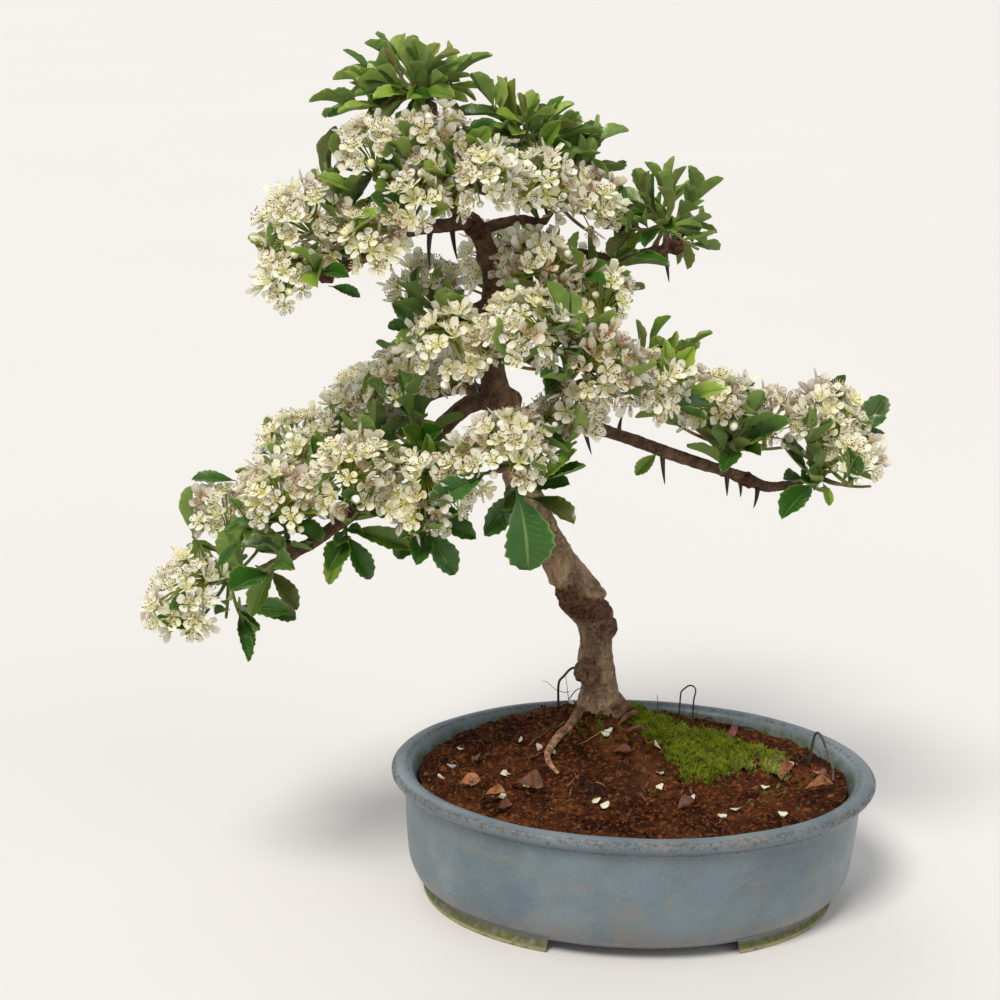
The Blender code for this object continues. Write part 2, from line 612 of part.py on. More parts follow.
def leaf_template(root):
    """A leaf one unit long along X, widest past its middle and keeled below, tapered to a root on X."""
    stations = [(0.34, 0.140, 0.062), (0.74, 0.190, 0.056)]
    bm = bmesh.new()
    rings = []
    for x, half, keel in stations:
        rise = 0.16 * math.sin(math.pi * x * 0.8)
        corners = ((x, half, rise), (x, -half, rise), (x, 0, rise - keel))
        rings.append([bm.verts.new(corner) for corner in corners])
    foot = bm.verts.new((root, 0, 0))
    tip = bm.verts.new((1.0, 0, 0.08))
    for low, high in zip(rings, rings[1:]):
        for k in range(3):
            n = (k + 1) % 3
            bm.faces.new((low[k], low[n], high[n]))
            bm.faces.new((low[k], high[n], high[k]))
    for k in range(3):
        n = (k + 1) % 3
        bm.faces.new((rings[-1][k], rings[-1][n], tip))
        bm.faces.new((rings[0][n], rings[0][k], foot))
    return mesh_from_bmesh("leaf_template", bm)


def floret_template():
    """A five-petalled floret of radius one facing Z, on a five-sided tapered stalk."""
    bm = bmesh.new()
    centre = bm.verts.new((0, 0, -0.10))
    stalk = bm.verts.new((0, 0, -1.15))
    tips, valleys = [], []
    for k in range(5):
        turn = math.radians(72 * k)
        tips.append(bm.verts.new((math.cos(turn), math.sin(turn), 0.08)))
        turn += math.radians(36)
        valleys.append(bm.verts.new((0.60 * math.cos(turn), 0.60 * math.sin(turn), -0.17)))
    for k in range(5):
        before = valleys[k - 1]
        bm.faces.new((centre, before, tips[k]))
        bm.faces.new((centre, tips[k], valleys[k]))
        bm.faces.new((before, valleys[k], tips[k]))
        bm.faces.new((before, stalk, valleys[k]))
    return mesh_from_bmesh("floret_template", bm)


def core_template():
    """A twenty-sided ball of radius one."""
    bm = bmesh.new()
    bmesh.ops.create_icosphere(bm, subdivisions=1, radius=1.0)
    return mesh_from_bmesh("core_template", bm)


class Room:
    """Remembers the pieces placed so far, and tells whether a new one is clear of other nodes."""

    def __init__(self):
        self.taken = []

    def shape(self, mesh, matrix, swell):
        turn = matrix.to_3x3().normalized()
        points = [matrix @ v.co + turn @ v.normal * swell for v in mesh.vertices]
        middle = sum(points, Vector()) / len(points)
        reach = max((p - middle).length for p in points)
        return middle, reach, BVHTree.FromPolygons(points, [tuple(p.vertices) for p in mesh.polygons])

    def blocked_by(self, node, mesh, matrix):
        middle, reach, tree = self.shape(mesh, matrix, CLEARANCE)
        for other, spot, far, other_tree in self.taken:
            if other != node and (spot - middle).length < reach + far and tree.overlap(other_tree):
                return True
        return False

    def take(self, node, mesh, matrix):
        self.taken.append((node, *self.shape(mesh, matrix, 0.0)))


def placing(spot, along_x, up, size):
    """A matrix that puts a template's X along one direction and its Z near another."""
    x = along_x.normalized()
    y = up.cross(x).normalized()
    z = x.cross(y)
    turn = Matrix((x, y, z)).transposed().to_4x4()
    return Matrix.Translation(spot) @ turn @ Matrix.Scale(size, 4)


def facing(spot, out, spin, size):
    """A matrix that turns a template's Z outward."""
    turn = out.to_track_quat("Z", "Y").to_matrix().to_4x4()
    return Matrix.Translation(spot) @ turn @ Matrix.Rotation(spin, 4, "Z") @ Matrix.Scale(size, 4)


def dome_directions(axis, radius):
    """Even directions over a head's dome."""
    count = round(FLORETS_PER_AREA * radius * radius)
    side = axis.orthogonal().normalized()
    other = axis.cross(side)
    for k in range(count):
        fall = math.acos(1 - (k + 0.5) / count * (1 - math.cos(DOME_ANGLE)))
        spread = side * math.cos(GOLDEN * k) + other * math.sin(GOLDEN * k)
        yield (axis * math.cos(fall) + spread * math.sin(fall)).normalized()


def stem_piece(points, thick, thin, work):
    """A green stem that tapers along its points."""
    last = len(points) - 1
    return tube("stem", [(*p, thick + (thin - thick) * k / last) for k, p in enumerate(points)], 0, work)


def dome_axis(out):
    """The way a head faces: out from its stem and up to the light."""
    return (out * 0.6 + Vector((0, 0, 0.7))).normalized()


def make_sprays(parts, work, wood, finishes):
    """Leafy stems and bloom clusters, each kept clear of every other node."""
    room = Room()
    room.take("wood", wood.data, Matrix.Identity(4))
    blades = Room()
    leaf, blade = leaf_template(LEAF_ROOT), leaf_template(BLADE_ROOT)
    floret, core = floret_template(), core_template()
    green = {name: [] for name in SPRAYS}
    for name in SPRAYS:
        for k, (points, count) in enumerate(spray_stems(name)):
            piece = stem_piece(points, STEM_RADIUS, STEM_TIP_RADIUS if k else STEM_RADIUS, work)
            room.take("leaves_" + name, piece.data, Matrix.Identity(4))
            green[name].append(piece)
    heads, blooms = {}, {}
    for name in SPRAYS:
        for number, (group, seat) in enumerate(zip(SPRAYS[name][2], cluster_seats(name))):
            node = f"blooms_{name}_{number + 1}"
            heads[node] = [(mm(*head[:3]), head[3] * 0.001, seat[2]) for head in group]
            blooms[node] = []
            for middle, size, out in heads[node]:
                matrix = facing(middle, out, 0.0, size * CORE_SHARE)
                room.take(node, core, matrix)
                ball = new_object("core", core, work)
                ball.matrix_world = matrix
                blooms[node].append(ball)
            if len(group) > 1:
                rows = [(*heads[node][k][0], LINK_RADIUS) for k in (0, 1)]
                link = tube("link", rows, 0, work)
                room.take(node, link.data, Matrix.Identity(4))
                blooms[node].append(link)
    for node, group in heads.items():
        for h, (middle, size, stem_way) in enumerate(group):
            for k, out in enumerate(dome_directions(dome_axis(stem_way), size)):
                draw = random.Random(f"{node} {h} {k}")
                spin = draw.uniform(0, 2 * math.pi)
                matrix = facing(middle + out * size, out, spin, FLORET_RADIUS * draw.uniform(0.92, 1.06))
                if room.blocked_by(node, floret, matrix):
                    continue
                room.take(node, floret, matrix)
                flower = new_object("floret", floret, work)
                flower.matrix_world = matrix
                blooms[node].append(flower)
    for name in SPRAYS:
        node = "leaves_" + name
        for stem, (points, count) in enumerate(spray_stems(name)):
            for k in range(count):
                for spot, aim, face, length in leaf_tries(name, stem, points, count, k):
                    matrix = placing(spot, aim, face, length)
                    if room.blocked_by(node, leaf, matrix) or blades.blocked_by(None, blade, matrix):
                        continue
                    room.take(node, leaf, matrix)
                    blades.take(node, blade, matrix)
                    piece = new_object("leaf", leaf, work)
                    piece.matrix_world = matrix
                    green[name].append(piece)
                    break
    for name, pieces in green.items():
        fuse("leaves_" + name, pieces, finishes["young" if name in YOUNG_SPRAYS else "leaf"], parts)
    for node, pieces in blooms.items():
        fuse(node, pieces, finishes["cream"], parts)


def centre_on_origin(parts):
    """Moves the whole object so that the middle of its bounding box stands on the origin."""
    bpy.context.view_layer.update()
    graph = bpy.context.evaluated_depsgraph_get()
    corners = []
    for obj in parts.objects:
        mesh = obj.evaluated_get(graph).data
        corners += [obj.matrix_world @ v.co for v in mesh.vertices]
    shift = Vector([-(min(c[i] for c in corners) + max(c[i] for c in corners)) / 2 for i in (0, 1)] + [0.0])
    for obj in bpy.context.scene.objects:
        obj.location += shift


def main():
    for obj in list(bpy.data.objects):
        bpy.data.objects.remove(obj)
    parts = bpy.data.collections.new("pyracantha_bonsai")
    cutters = bpy.data.collections.new("cutters")
    work = bpy.data.collections.new("work")
    for collection in (parts, cutters, work):
        bpy.context.scene.collection.children.link(collection)
    make_pot(parts, cutters, material("blue_glaze", GLAZE, 0.35))
    soil = make_soil(parts, cutters, material("soil", SOIL_BROWN, 0.95))
    make_moss(parts, material("moss", MOSS_GREEN, 0.95))
    make_screens(parts, cutters, material("screen", SCREEN_GREEN, 0.6))
    ground = surface_tree(soil)
    make_wires(parts, ground, material("wire", WIRE_BLACK, 0.4))
    wood = make_wood(parts, work, ground, material("bark", BARK, 0.85))
    finishes = {"leaf": material("leaf", LEAF_GREEN, 0.4), "young": material("young_leaf", YOUNG_GREEN, 0.4),
                "cream": material("petals", CREAM, 0.6)}
    make_sprays(parts, work, wood, finishes)
    bpy.data.collections.remove(work)
    centre_on_origin(parts)


main()
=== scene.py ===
"""The finished look of a pyracantha bonsai in flower, in an oval glazed pot.

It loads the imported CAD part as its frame, and grows bark, leaves, flowers, moss and crumbs of soil
where the part's solids stand. Sizes are metres. Places on the plant are written in millimetres from
the middle of the pot's foot, with X along the pot, Y to its back and Z up, as in the part's source.
"""

import math
import random

import bpy
import numpy as np
from bpy.props import FloatProperty, FloatVectorProperty, IntProperty, PointerProperty
from mathutils import Matrix, Vector
from mathutils.kdtree import KDTree


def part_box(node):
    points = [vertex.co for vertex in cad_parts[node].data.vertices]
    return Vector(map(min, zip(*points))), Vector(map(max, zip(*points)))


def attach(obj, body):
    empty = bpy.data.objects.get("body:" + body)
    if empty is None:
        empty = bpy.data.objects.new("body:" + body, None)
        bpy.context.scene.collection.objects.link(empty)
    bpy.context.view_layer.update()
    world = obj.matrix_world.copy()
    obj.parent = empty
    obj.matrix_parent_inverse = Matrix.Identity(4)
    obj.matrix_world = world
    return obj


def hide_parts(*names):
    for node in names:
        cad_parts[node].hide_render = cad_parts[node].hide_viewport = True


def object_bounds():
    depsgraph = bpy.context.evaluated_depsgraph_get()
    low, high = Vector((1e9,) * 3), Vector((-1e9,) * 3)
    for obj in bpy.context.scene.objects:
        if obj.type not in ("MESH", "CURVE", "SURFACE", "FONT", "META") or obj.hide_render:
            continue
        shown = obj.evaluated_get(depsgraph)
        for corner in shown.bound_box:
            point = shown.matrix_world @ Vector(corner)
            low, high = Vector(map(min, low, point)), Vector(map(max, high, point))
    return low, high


bl_info = {
    "name": "Pyracantha bonsai look",
    "version": (1, 0, 0),
    "blender": (4, 5, 0),
    "location": "3D View > Sidebar > Bonsai",
    "description": "Dresses the CAD part of a potted pyracantha in bark, leaves, flowers, moss and glaze",
    "category": "Object",
}

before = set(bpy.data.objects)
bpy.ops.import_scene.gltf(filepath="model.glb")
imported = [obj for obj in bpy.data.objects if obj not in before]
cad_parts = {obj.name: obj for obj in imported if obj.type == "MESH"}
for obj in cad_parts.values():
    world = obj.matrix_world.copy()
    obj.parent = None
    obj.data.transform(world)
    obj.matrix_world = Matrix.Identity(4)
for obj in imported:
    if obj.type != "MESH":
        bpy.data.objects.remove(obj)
BOX_LOW, BOX_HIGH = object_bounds()
POT_LOW, POT_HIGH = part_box("pot")
SHIFT = np.array([(POT_LOW.x + POT_HIGH.x) / 2, (POT_LOW.y + POT_HIGH.y) / 2, 0.0])
LOW, HIGH = np.array(BOX_LOW) - SHIFT, np.array(BOX_HIGH) - SHIFT
UP = np.array([0.0, 0.0, 1.0])
UPWARD = Vector((0, 0, 1))
OFF_AXIS = np.array([0.31, 0.52, 0.79])

# Pot
POT_HALF_LENGTH = 0.088
POT_DEPTH_RATIO = 0.759
POT_TURNS = 176
FLOOR_UNDER = 0.0054
FLOOR_TOP = 0.0104
FOOT_GAP_HALF = 0.033
FOOT_GAP_TOP = 0.0050
DRAIN_RADIUS = 0.006
DRAIN_PLACES = (-0.034, 0.034)
SCREEN_ROOM = 0.0103
# Half length and height round the pot's section, from the middle of its floor over the rim to the foot
POT_SECTION = [
    (0.0, FLOOR_TOP), (0.070, FLOOR_TOP), (0.0758, 0.0145), (0.0772, 0.040), (0.0798, 0.0476),
    (0.0826, 0.0495), (0.0864, 0.0490), (POT_HALF_LENGTH, 0.0470), (0.0866, 0.0446), (0.0826, 0.0425),
    (0.0818, 0.026), (0.0806, 0.014), (0.0780, 0.0080), (0.0734, 0.0050), (0.0756, 0.0), (0.0705, 0.0),
    (0.0695, FLOOR_UNDER), (0.0, FLOOR_UNDER),
]

# Soil and moss
GAP = 0.0003
SOIL_TURNS = 264
SOIL_RINGS = 84
SOIL_HALF_LENGTH = 0.0776
SOIL_WALLS = [(0.0767, 0.0405), (0.0753, 0.0150), (0.0690, FLOOR_TOP + GAP)]
SOIL_EDGE_HEIGHT = 0.0445
SOIL_MOUND = 0.0125
SOIL_MOUND_SPREAD = 0.030
SOIL_GRAIN = 0.0007
TRUNK_HOLE = 0.0097
MOSS_FROM, MOSS_TO = -66, 62
MOSS_FAR_FROM, MOSS_FAR_TO = -24, 10
MOSS_GRID = 0.0009
BLADES = 7
FOOT_TUFTS = 60
STRAY_TUFTS = 70

# Plant
WOOD_GRAIN = 0.00064
WOOD_STEP = 0.0008
SPUR_REACH = 0.004
SPUR_RADIUS = 0.0012
SPUR_FOOT_RADIUS = 0.00145
STEM_RADIUS = 0.0010
HUB_REACH = 0.003
TIP_SAG = 0.07
SHOOT_SAG = 0.06
CORE_SHARE = 0.72
GOLDEN = math.radians(137.508)
LEAF_TRIES = 9
LEAF_STATIONS = 17
YOUNG_STATIONS = 13
STEM_STEPS = 7
STEM_SIDES = 6
THORN_STEPS = 12
THORN_SIDES = 10
SEEN_HALF_WIDTH = 0.20

# Tie wires: name, radius and route of x, y and height over the soil, in millimetres
WIRES = [
    ("wire_arch", 0.6, [(-24, 47, 0), (-24, 48, 10), (-20.5, 50, 14), (-16, 49.5, 15), (-12, 46, 12),
                        (-10, 43, 0)]),
    ("wire_loop", 0.4, [(23.5, 52.5, 0), (23.5, 52.5, 9), (24, 52.3, 12), (26.5, 52, 13.5),
                        (29, 51.5, 11.5), (28.5, 51, 7), (28.5, 51, 0)]),
    ("wire_wavy", 0.6, [(32, 51, 0), (35, 50.5, 1.2), (38, 48.5, 0.2), (41, 48.5, 0.8), (45, 47, 0),
                        (49, 44, 0.6), (52, 42, 0)]),
    ("wire_hoop", 0.6, [(66, 10, 0), (66.5, 10, 5), (67.5, 10, 12), (69, 8.5, 12.6), (71, 5, 9),
                        (72.5, 0, 4), (72.5, -4, 0)]),
]
# Wood, one route for each branch: x, y, z and radius, in millimetres
TRUNK = [
    (-11, 28, 36, 8.4), (-11, 28, 49, 8.6), (-11, 28, 58, 8.6), (-11, 28, 69, 6.6), (-13, 27, 78, 6.9),
    (-13, 26, 87, 6.1), (-14, 26, 95, 7.2), (-18, 25, 102, 7.8), (-22, 24, 109, 7.7), (-28, 22, 118, 6.3),
    (-34, 20, 128, 6.0), (-41, 17, 143, 5.6), (-48, 14, 160, 5.3), (-52, 12, 176, 5.0), (-56, 9, 192, 4.6),
    (-57, 5, 208, 4.2), (-57, 2, 225, 3.9), (-62, -2, 240, 3.4), (-70, -4, 250, 3.0), (-76, -4, 262, 2.5),
    (-79, -3, 274, 2.1), (-79, -2, 283, 1.7),
]
TRUNK_X, TRUNK_Y = TRUNK[1][0] * 0.001, TRUNK[1][1] * 0.001
BRANCHES = {
    "left": [(-51, 12, 180, 3.4), (-64, 3, 181, 3.2), (-78, -7, 170, 3.0), (-94, -14, 155, 2.7),
             (-108, -20, 144, 2.4), (-124, -22, 133, 2.1), (-138, -22, 125, 1.8)],
    "right": [(-47, 13, 170, 3.2), (-33, 4, 176, 2.8), (-19, 0, 174, 2.4), (-6, -4, 171, 2.3),
              (10, -6, 166, 2.2), (25, -4, 161, 2.1), (34, 0, 157, 2.4), (42, 2, 154, 2.0),
              (53, 6, 154, 1.7)],
    "high_left": [(-65, -3, 245, 2.4), (-86, -12, 243, 2.1), (-99, -18, 236, 1.9), (-111, -22, 230, 2.1)],
    "high_right": [(-58, 0, 233, 2.4), (-43, 5, 237, 2.1), (-29, 8, 234, 1.9), (-15, 10, 232, 1.8),
                   (3, 12, 235, 2.2)],
    "front": [(-57, 5, 206, 2.6), (-53, -10, 204, 2.2), (-45, -22, 203, 1.9), (-34, -28, 200, 1.6)],
    "front_low": [(-48, 13, 168, 2.6), (-53, -4, 167, 2.2), (-54, -15, 163, 1.8)],
    "side": [(-57, 3, 217, 2.4), (-68, -7, 214, 2.0), (-76, -10, 209, 1.6)],
    "slant": [(-56, 6, 203, 2.6), (-42, -2, 209, 2.2), (-34, -4, 212, 1.7)],
    "fork": [(-33, 4, 176, 2.2), (-28, 8, 186, 1.9), (-19, 9, 190, 1.5)],
    "back_left": [(-52, 12, 182, 2.8), (-66, 27, 181, 2.2), (-80, 32, 175, 1.7)],
    "back_right": [(-57, 4, 213, 2.6), (-47, 20, 211, 2.0), (-40, 28, 209, 1.6)],
    "top_right": [(-64, -2, 242, 2.2), (-50, -1, 246, 1.8), (-41, 0, 245, 1.5)],
    "top_back": [(-74, -4, 258, 2.2), (-67, 9, 255, 1.8), (-62, 18, 253, 1.5)],
    "crown_right": [(-78, -3, 270, 1.9), (-66, 3, 274, 1.6), (-56, 6, 274, 1.4)],
}
# Knots, those of the trunk first: x, y, z and radius
TRUNK_KNOTS = 5
KNOTS = [(-16.6, 20.6, 77, 4.6), (-10, 23, 94, 4.2), (-24, 19, 107, 4.0), (-37, 17, 129, 3.2),
         (-6, 26, 62, 3.8), (34, -1, 157, 2.9), (-64, -5, 243, 3.2), (6, 12, 236, 2.8), (-113, -22, 229, 2.6)]
# Thorns: foot and point
THORNS = [
    ((-24, 2, 175), (-21, -1, 165)), ((3, -5, 168), (4, -9, 157)), ((26, -4, 161), (26, -8, 153)),
    ((31, -1, 158), (33, 5, 149)), ((38, 1, 155), (36, -5, 148)), ((-79, -9, 244), (-79, -14, 231)),
    ((-72, -6, 245), (-70, -15, 234)), ((-91, -15, 241), (-92, -22, 231)), ((2, 12, 235), (4, 10, 224)),
    ((5, 12, 236), (12, 18, 242)), ((-22, 9, 233), (-25, 18, 228)), ((-38, 6, 236), (-34, 16, 241)),
    ((-12, -3, 172), (-10, 6, 178)), ((-60, 6, 182), (-62, 16, 188)), ((-72, 29, 179), (-73, 40, 176)),
    ((-44, 15, 158), (-37, 23, 161)), ((-55, 8, 196), (-47, 12, 198)), ((-98, -17, 152), (-97, -6, 147)),
]
# Surface root: x, y, height of its underside over the soil, and radius
SURFACE_ROOT = [(-13, 26, 2.6, 2.6), (-22, 19, 0.8, 2.0), (-30, 9, 0.6, 1.6), (-31, 0, 0.6, 1.3),
                (-28, -7, 0.6, 1.0)]

# Leafy stems: branch, place on its route, bloom clusters (one list for each node, with x, y, z and
# radius of each head) and leafy tips (x, y, z)
SPRAYS = {
    "left_tip": ("left", 6, [[(-157, -24, 118, 15)], [(-146, 3, 137, 14)]], [(-141, -22, 112)]),
    "left_outer": ("left", 5, [[(-127, -35, 156, 15)], [(-121, 5, 162, 15)]], [(-130, -40, 133)]),
    "left_middle": ("left", 4, [[(-103, -43, 167, 14)], [(-99, 3, 176, 14)]], [(-105, -32, 143)]),
    "left_inner": ("left", 2, [[(-79, -41, 161, 14)], [(-86, -9, 190, 14)]], [(-79, -34, 146)]),
    "back_left": ("back_left", 2, [[(-98, 36, 174, 14)], [(-71, 44, 190, 14)]], [(-84, 46, 160)]),
    "middle": ("front_low", 2, [[(-53, -42, 176, 15), (-33, -34, 187, 11)]], [(-45, -32, 158)]),
    "upper_left": ("side", 2, [[(-79, -6, 220, 13)], [(-72, -33, 208, 14)]], []),
    "upper_front": ("front", 3, [[(-48, -43, 217, 14)], [(-24, -44, 206, 13), (-6, -32, 197, 12)]], []),
    "upper_top": ("slant", 2, [[(-44, -13, 232, 13), (-23, -14, 221, 13)]], [(-16, 2, 232)]),
    "back_right": ("back_right", 2, [[(-22, 38, 216, 14)], [(-54, 38, 224, 14)]], [(-30, 48, 196)]),
    "fork": ("fork", 2, [], [(-3, -2, 202), (9, 3, 198)]),
    "right_middle": ("right", 5, [[(20, -13, 186, 12), (39, 3, 177, 13)], [(13, 19, 181, 12)]],
                     [(28, -14, 170)]),
    "right_tip": ("right", 8, [[(59, -3, 178, 14), (67, -18, 168, 10)]], [(73, 10, 167), (55, -14, 158)]),
    "high_left": ("high_left", 3, [[(-125, -33, 230, 10), (-121, -25, 246, 14)], [(-99, -36, 243, 12)]],
                  [(-111, -12, 254)]),
    "top_front": ("trunk", 19, [[(-79, -23, 274, 12), (-98, -23, 269, 12)], [(-63, -30, 262, 12)],
                                [(-84, -38, 257, 10)]], []),
    "top_right": ("top_right", 2, [[(-27, -6, 252, 11), (-45, -14, 260, 12)]], [(-28, 10, 262)]),
    "top_back": ("top_back", 2, [[(-82, 26, 264, 13)], [(-46, 29, 258, 13)]], [(-66, 38, 246)]),
    "crown": ("trunk", 21, [], [(-106, -8, 282), (-99, -2, 291), (-92, 6, 295), (-82, -6, 296),
                                (-73, 4, 290)]),
    "crown_right": ("crown_right", 2, [], [(-59, -2, 283), (-47, 10, 277), (-36, 4, 274), (-26, 9, 268),
                                           (-42, -7, 268)]),
    "far_right": ("high_right", 4, [], [(-5, 8, 251), (3, 14, 253), (10, 6, 252), (-12, 1, 244),
                                        (12, 22, 236)]),
}
HEAD_LEAVES = 1
TIP_LEAVES = 3
YOUNG_TIP_LEAVES = 4
LEAF_LENGTH = (0.019, 0.024)
YOUNG_LENGTH = (0.0135, 0.0165)
LEAF_ROOT = -0.028
YOUNG_SPRAYS = ("fork", "crown", "crown_right", "far_right")
# Swellings where branches leave the trunk: x, y, z and radius
COLLARS = [(-47, 14, 167, 5.6), (-50, 12, 180, 5.4), (-57, 4, 211, 5.0), (-59, -1, 233, 4.3),
           (-65, -3, 245, 3.8)]
# Roots that spread from the trunk's foot: x, y, height over the soil and radius
BASE_ROOTS = [
    [(-9, 26, 4.0, 4.8), (-5, 24, 1.2, 3.6), (-2, 23, -1.0, 2.4)],
    [(-12, 27, 3.0, 5.0), (-17, 24, 0.0, 3.6), (-22, 22, -2.0, 2.0)],
    [(-9, 30, 5.0, 4.8), (-4, 32, 1.4, 3.8), (1, 35, -0.8, 2.4)],
    [(-2, 27, 0.6, 1.2), (-3, 30, 0.9, 1.1), (1, 38, 1.0, 1.0), (6, 47, 1.2, 0.9), (10, 52, -0.8, 0.8)],
]
# The trunk's scar band: its middle and the direction across it
SCAR = ((-22, 20, 103), (0.22, 0.10, 0.97))
# Edges where the glaze is worn: half length, height, width, depth and strength
WORN_EDGES = [(0.0868, 0.0474, 0.0013, 0.0020, 0.80), (0.0815, 0.0492, 0.0015, 0.0011, 0.85),
              (0.0840, 0.0432, 0.0018, 0.0014, 0.75)]
# Flaws in the glaze: x, y, z and size
POT_FLAWS = [(-0.0866, -0.0105, 0.0462, 0.0022), (-0.0126, -0.0613, 0.0300, 0.0006),
             (-0.0506, -0.0488, 0.0286, 0.0004), (0.0143, -0.0610, 0.0417, 0.0007),
             (0.0160, -0.0610, 0.0418, 0.0007), (0.0125, -0.0612, 0.0416, 0.0006)]
# Shares of a leaf's length, and the share of its half width at each
LEAF_OUTLINE = ((0, 0.08, 0.13, 0.20, 0.32, 0.46, 0.60, 0.72, 0.83, 0.92, 0.975, 1.0),
                (0.075, 0.060, 0.11, 0.32, 0.65, 0.90, 1.0, 0.96, 0.76, 0.46, 0.20, 0.03))
# Leaf shapes: half width, arch and twist
LEAF_SHAPES = [(0.195, 0.15, 0.1), (0.21, 0.10, -0.2), (0.18, 0.24, 0.3), (0.225, 0.12, 0.0),
               (0.20, 0.02, -0.3), (0.175, 0.20, 0.2)]
# Leaves along a shoot: share of its length, and how many on a grown and on a young one
SHOOT_LEAVES = [(0.98, 5, 5), (0.84, 3, 3), (0.70, 1, 3), (0.55, 0, 2), (0.38, 0, 3)]
# More shoots than the CAD part has: how many in each young spray
MORE_SHOOTS = {"crown": 30, "crown_right": 18, "far_right": 14, "fork": 12}
# Leaves that stand out in the photograph: spray, foot, tip, half width, how fresh and how red
SEEN_LEAVES = [
    ("middle", (-50, -45, 165), (-44, -42, 139), 0.34, 0.0, 0),
    ("left_inner", (-59, -50, 172), (-77, -52, 160), 0.19, 0.1, 0),
    ("left_inner", (-82, -37, 150), (-70, -36, 133), 0.22, 0.1, 0),
    ("left_middle", (-105, -31, 144), (-97, -32, 129), 0.20, 0.1, 0),
    ("left_tip", (-131, -27, 130), (-121, -31, 117), 0.20, 0.1, 0.4),
    ("left_tip", (-139, -23, 112), (-137, -25, 100), 0.20, 0.1, 0.1),
    ("left_tip", (-150, -32, 122), (-163, -36, 117), 0.20, 0.1, 0),
    ("left_outer", (-143, 2, 152), (-158, 6, 149), 0.20, 0.2, 0),
    ("high_left", (-104, -26, 257), (-117, -28, 262), 0.22, 0.6, 0),
    ("high_left", (-112, -23, 226), (-102, -26, 222), 0.18, 0.2, 0),
    ("high_left", (-120, -24, 226), (-132, -26, 221), 0.18, 0.2, 0),
    ("upper_front", (0, -29, 193), (9, -32, 211), 0.19, 0.85, 0),
    ("upper_front", (2, -28, 191), (20, -30, 196), 0.17, 0.8, 0),
    ("upper_front", (-2, -30, 195), (-5, -33, 214), 0.20, 0.7, 0),
    ("upper_front", (2, -28, 190), (14, -29, 185), 0.17, 0.5, 0),
    ("crown", (-93, 0, 292), (-97, -1, 301), 0.20, 0.6, 0.9),
    ("crown", (-93, 0, 292), (-90, -1, 302), 0.18, 0.6, 0.9),
    ("crown", (-87, -5, 287), (-99, -14, 283), 0.24, 0.8, 0),
    ("crown", (-85, -5, 286), (-81, -14, 278), 0.24, 0.6, 0),
    ("crown", (-84, -4, 287), (-72, -12, 285), 0.22, 0.5, 0),
    ("crown", (-89, -3, 287), (-106, -8, 285), 0.19, 0.4, 0),
    ("crown", (-88, -7, 286), (-93, -15, 279), 0.24, 0.7, 0),
    ("crown", (-85, -6, 288), (-77, -12, 281), 0.22, 0.8, 0),
    ("right_middle", (1, -8, 168), (-6, -10, 160), 0.21, 0.5, 0),
    ("right_tip", (58, -12, 160), (60, -14, 152), 0.21, 0.7, 0),
    ("left_tip", (-140, -31, 141), (-147, -33, 133), 0.22, 0.1, 0),
]
# Along a petal: share of its length, and its half width there
PETAL_STATIONS = [(0.14, 0.05), (0.34, 0.18), (0.63, 0.38), (0.88, 0.29)]
# A stamen's head: its corners and faces
STAMEN_HEAD = [(1, 0, 0), (-1, 0, 0), (0, 1, -0.5), (0, -1, -0.5), (0, 0, 1)]
STAMEN_HEAD_FACES = [(0, 2, 4), (2, 1, 4), (1, 3, 4), (3, 0, 4), (2, 0, 3), (2, 3, 1)]
# Flower shapes: how steeply the petals rise and how cupped they are
FLOWER_SHAPES = [(0.12, 0.55), (0.25, 0.65), (0.38, 0.70), (0.55, 0.80), (0.15, 0.40), (0.80, 0.90)]
# Layers of flowers over a head: share of its radius, spacing and widest turn from its axis in degrees
FLOWER_LAYERS = [(0.88, 0.00535, 104), (0.55, 0.0088, 125)]
# How many times the usual share of flowers is spent, in some clusters and in the others
SPENT_CLUSTERS = {("upper_front", 1): 2.2, ("upper_front", 2): 3.0, ("top_front", 1): 1.6,
                  ("top_right", 1): 2.2, ("right_tip", 1): 1.6, ("right_middle", 1): 1.8,
                  ("upper_top", 1): 1.8}
SPENT_ELSEWHERE = 0.8
# Where fallen petals lie: x and y
FALLEN_PETALS = [(-66, 3), (-62, 17), (-59, -12), (-49, -24), (-46, -4), (-36, -14), (-29, 8), (-16, -24),
                 (-8, 12), (18, -22), (26, -38), (33, -30), (46, -12), (60, 12), (68, 4),
                 (-40, 20), (-70, -8)]
# Dead leaves: foot, tip, half width, arch, and how orange and how pink each is
DEAD_LEAVES = [((-45, -15), (-35, -22), 0.21, 0.30, 0.12, 0), ((-64, -14), (-56, -15), 0.19, 0.25, 0.9, 0),
               ((-57, -27), (-48, -32), 0.14, 0.35, 0.7, 0), ((-58, 11), (-57, 4), 0.19, 0.25, 0.1, 0.3),
               ((-8, 3), (-1, 1), 0.17, 0.25, 0.1, 0.1), ((39, 27), (43, 36), 0.11, 0.22, 0.2, 0.9),
               ((-52, -33), (-46, -36), 0.24, 0.30, 0.05, 0.2), ((53, -5), (59, 2), 0.16, 0.40, 0.5, 0.4),
               ((60, -14), (70, -16), 0.13, 0.30, 0.6, 0),
               ((-5, 15), (4, 22), 0.065, 0.35, 0.1, 0.8), ((-3, 13), (6, 16), 0.055, 0.25, 0.1, 0.6),
               ((12, -32), (18, -30), 0.22, 0.25, 0.0, 0), ((66, -1), (70, -5), 0.24, 0.25, 0.4, 0.9)]
ROOTLET_STEPS = 7
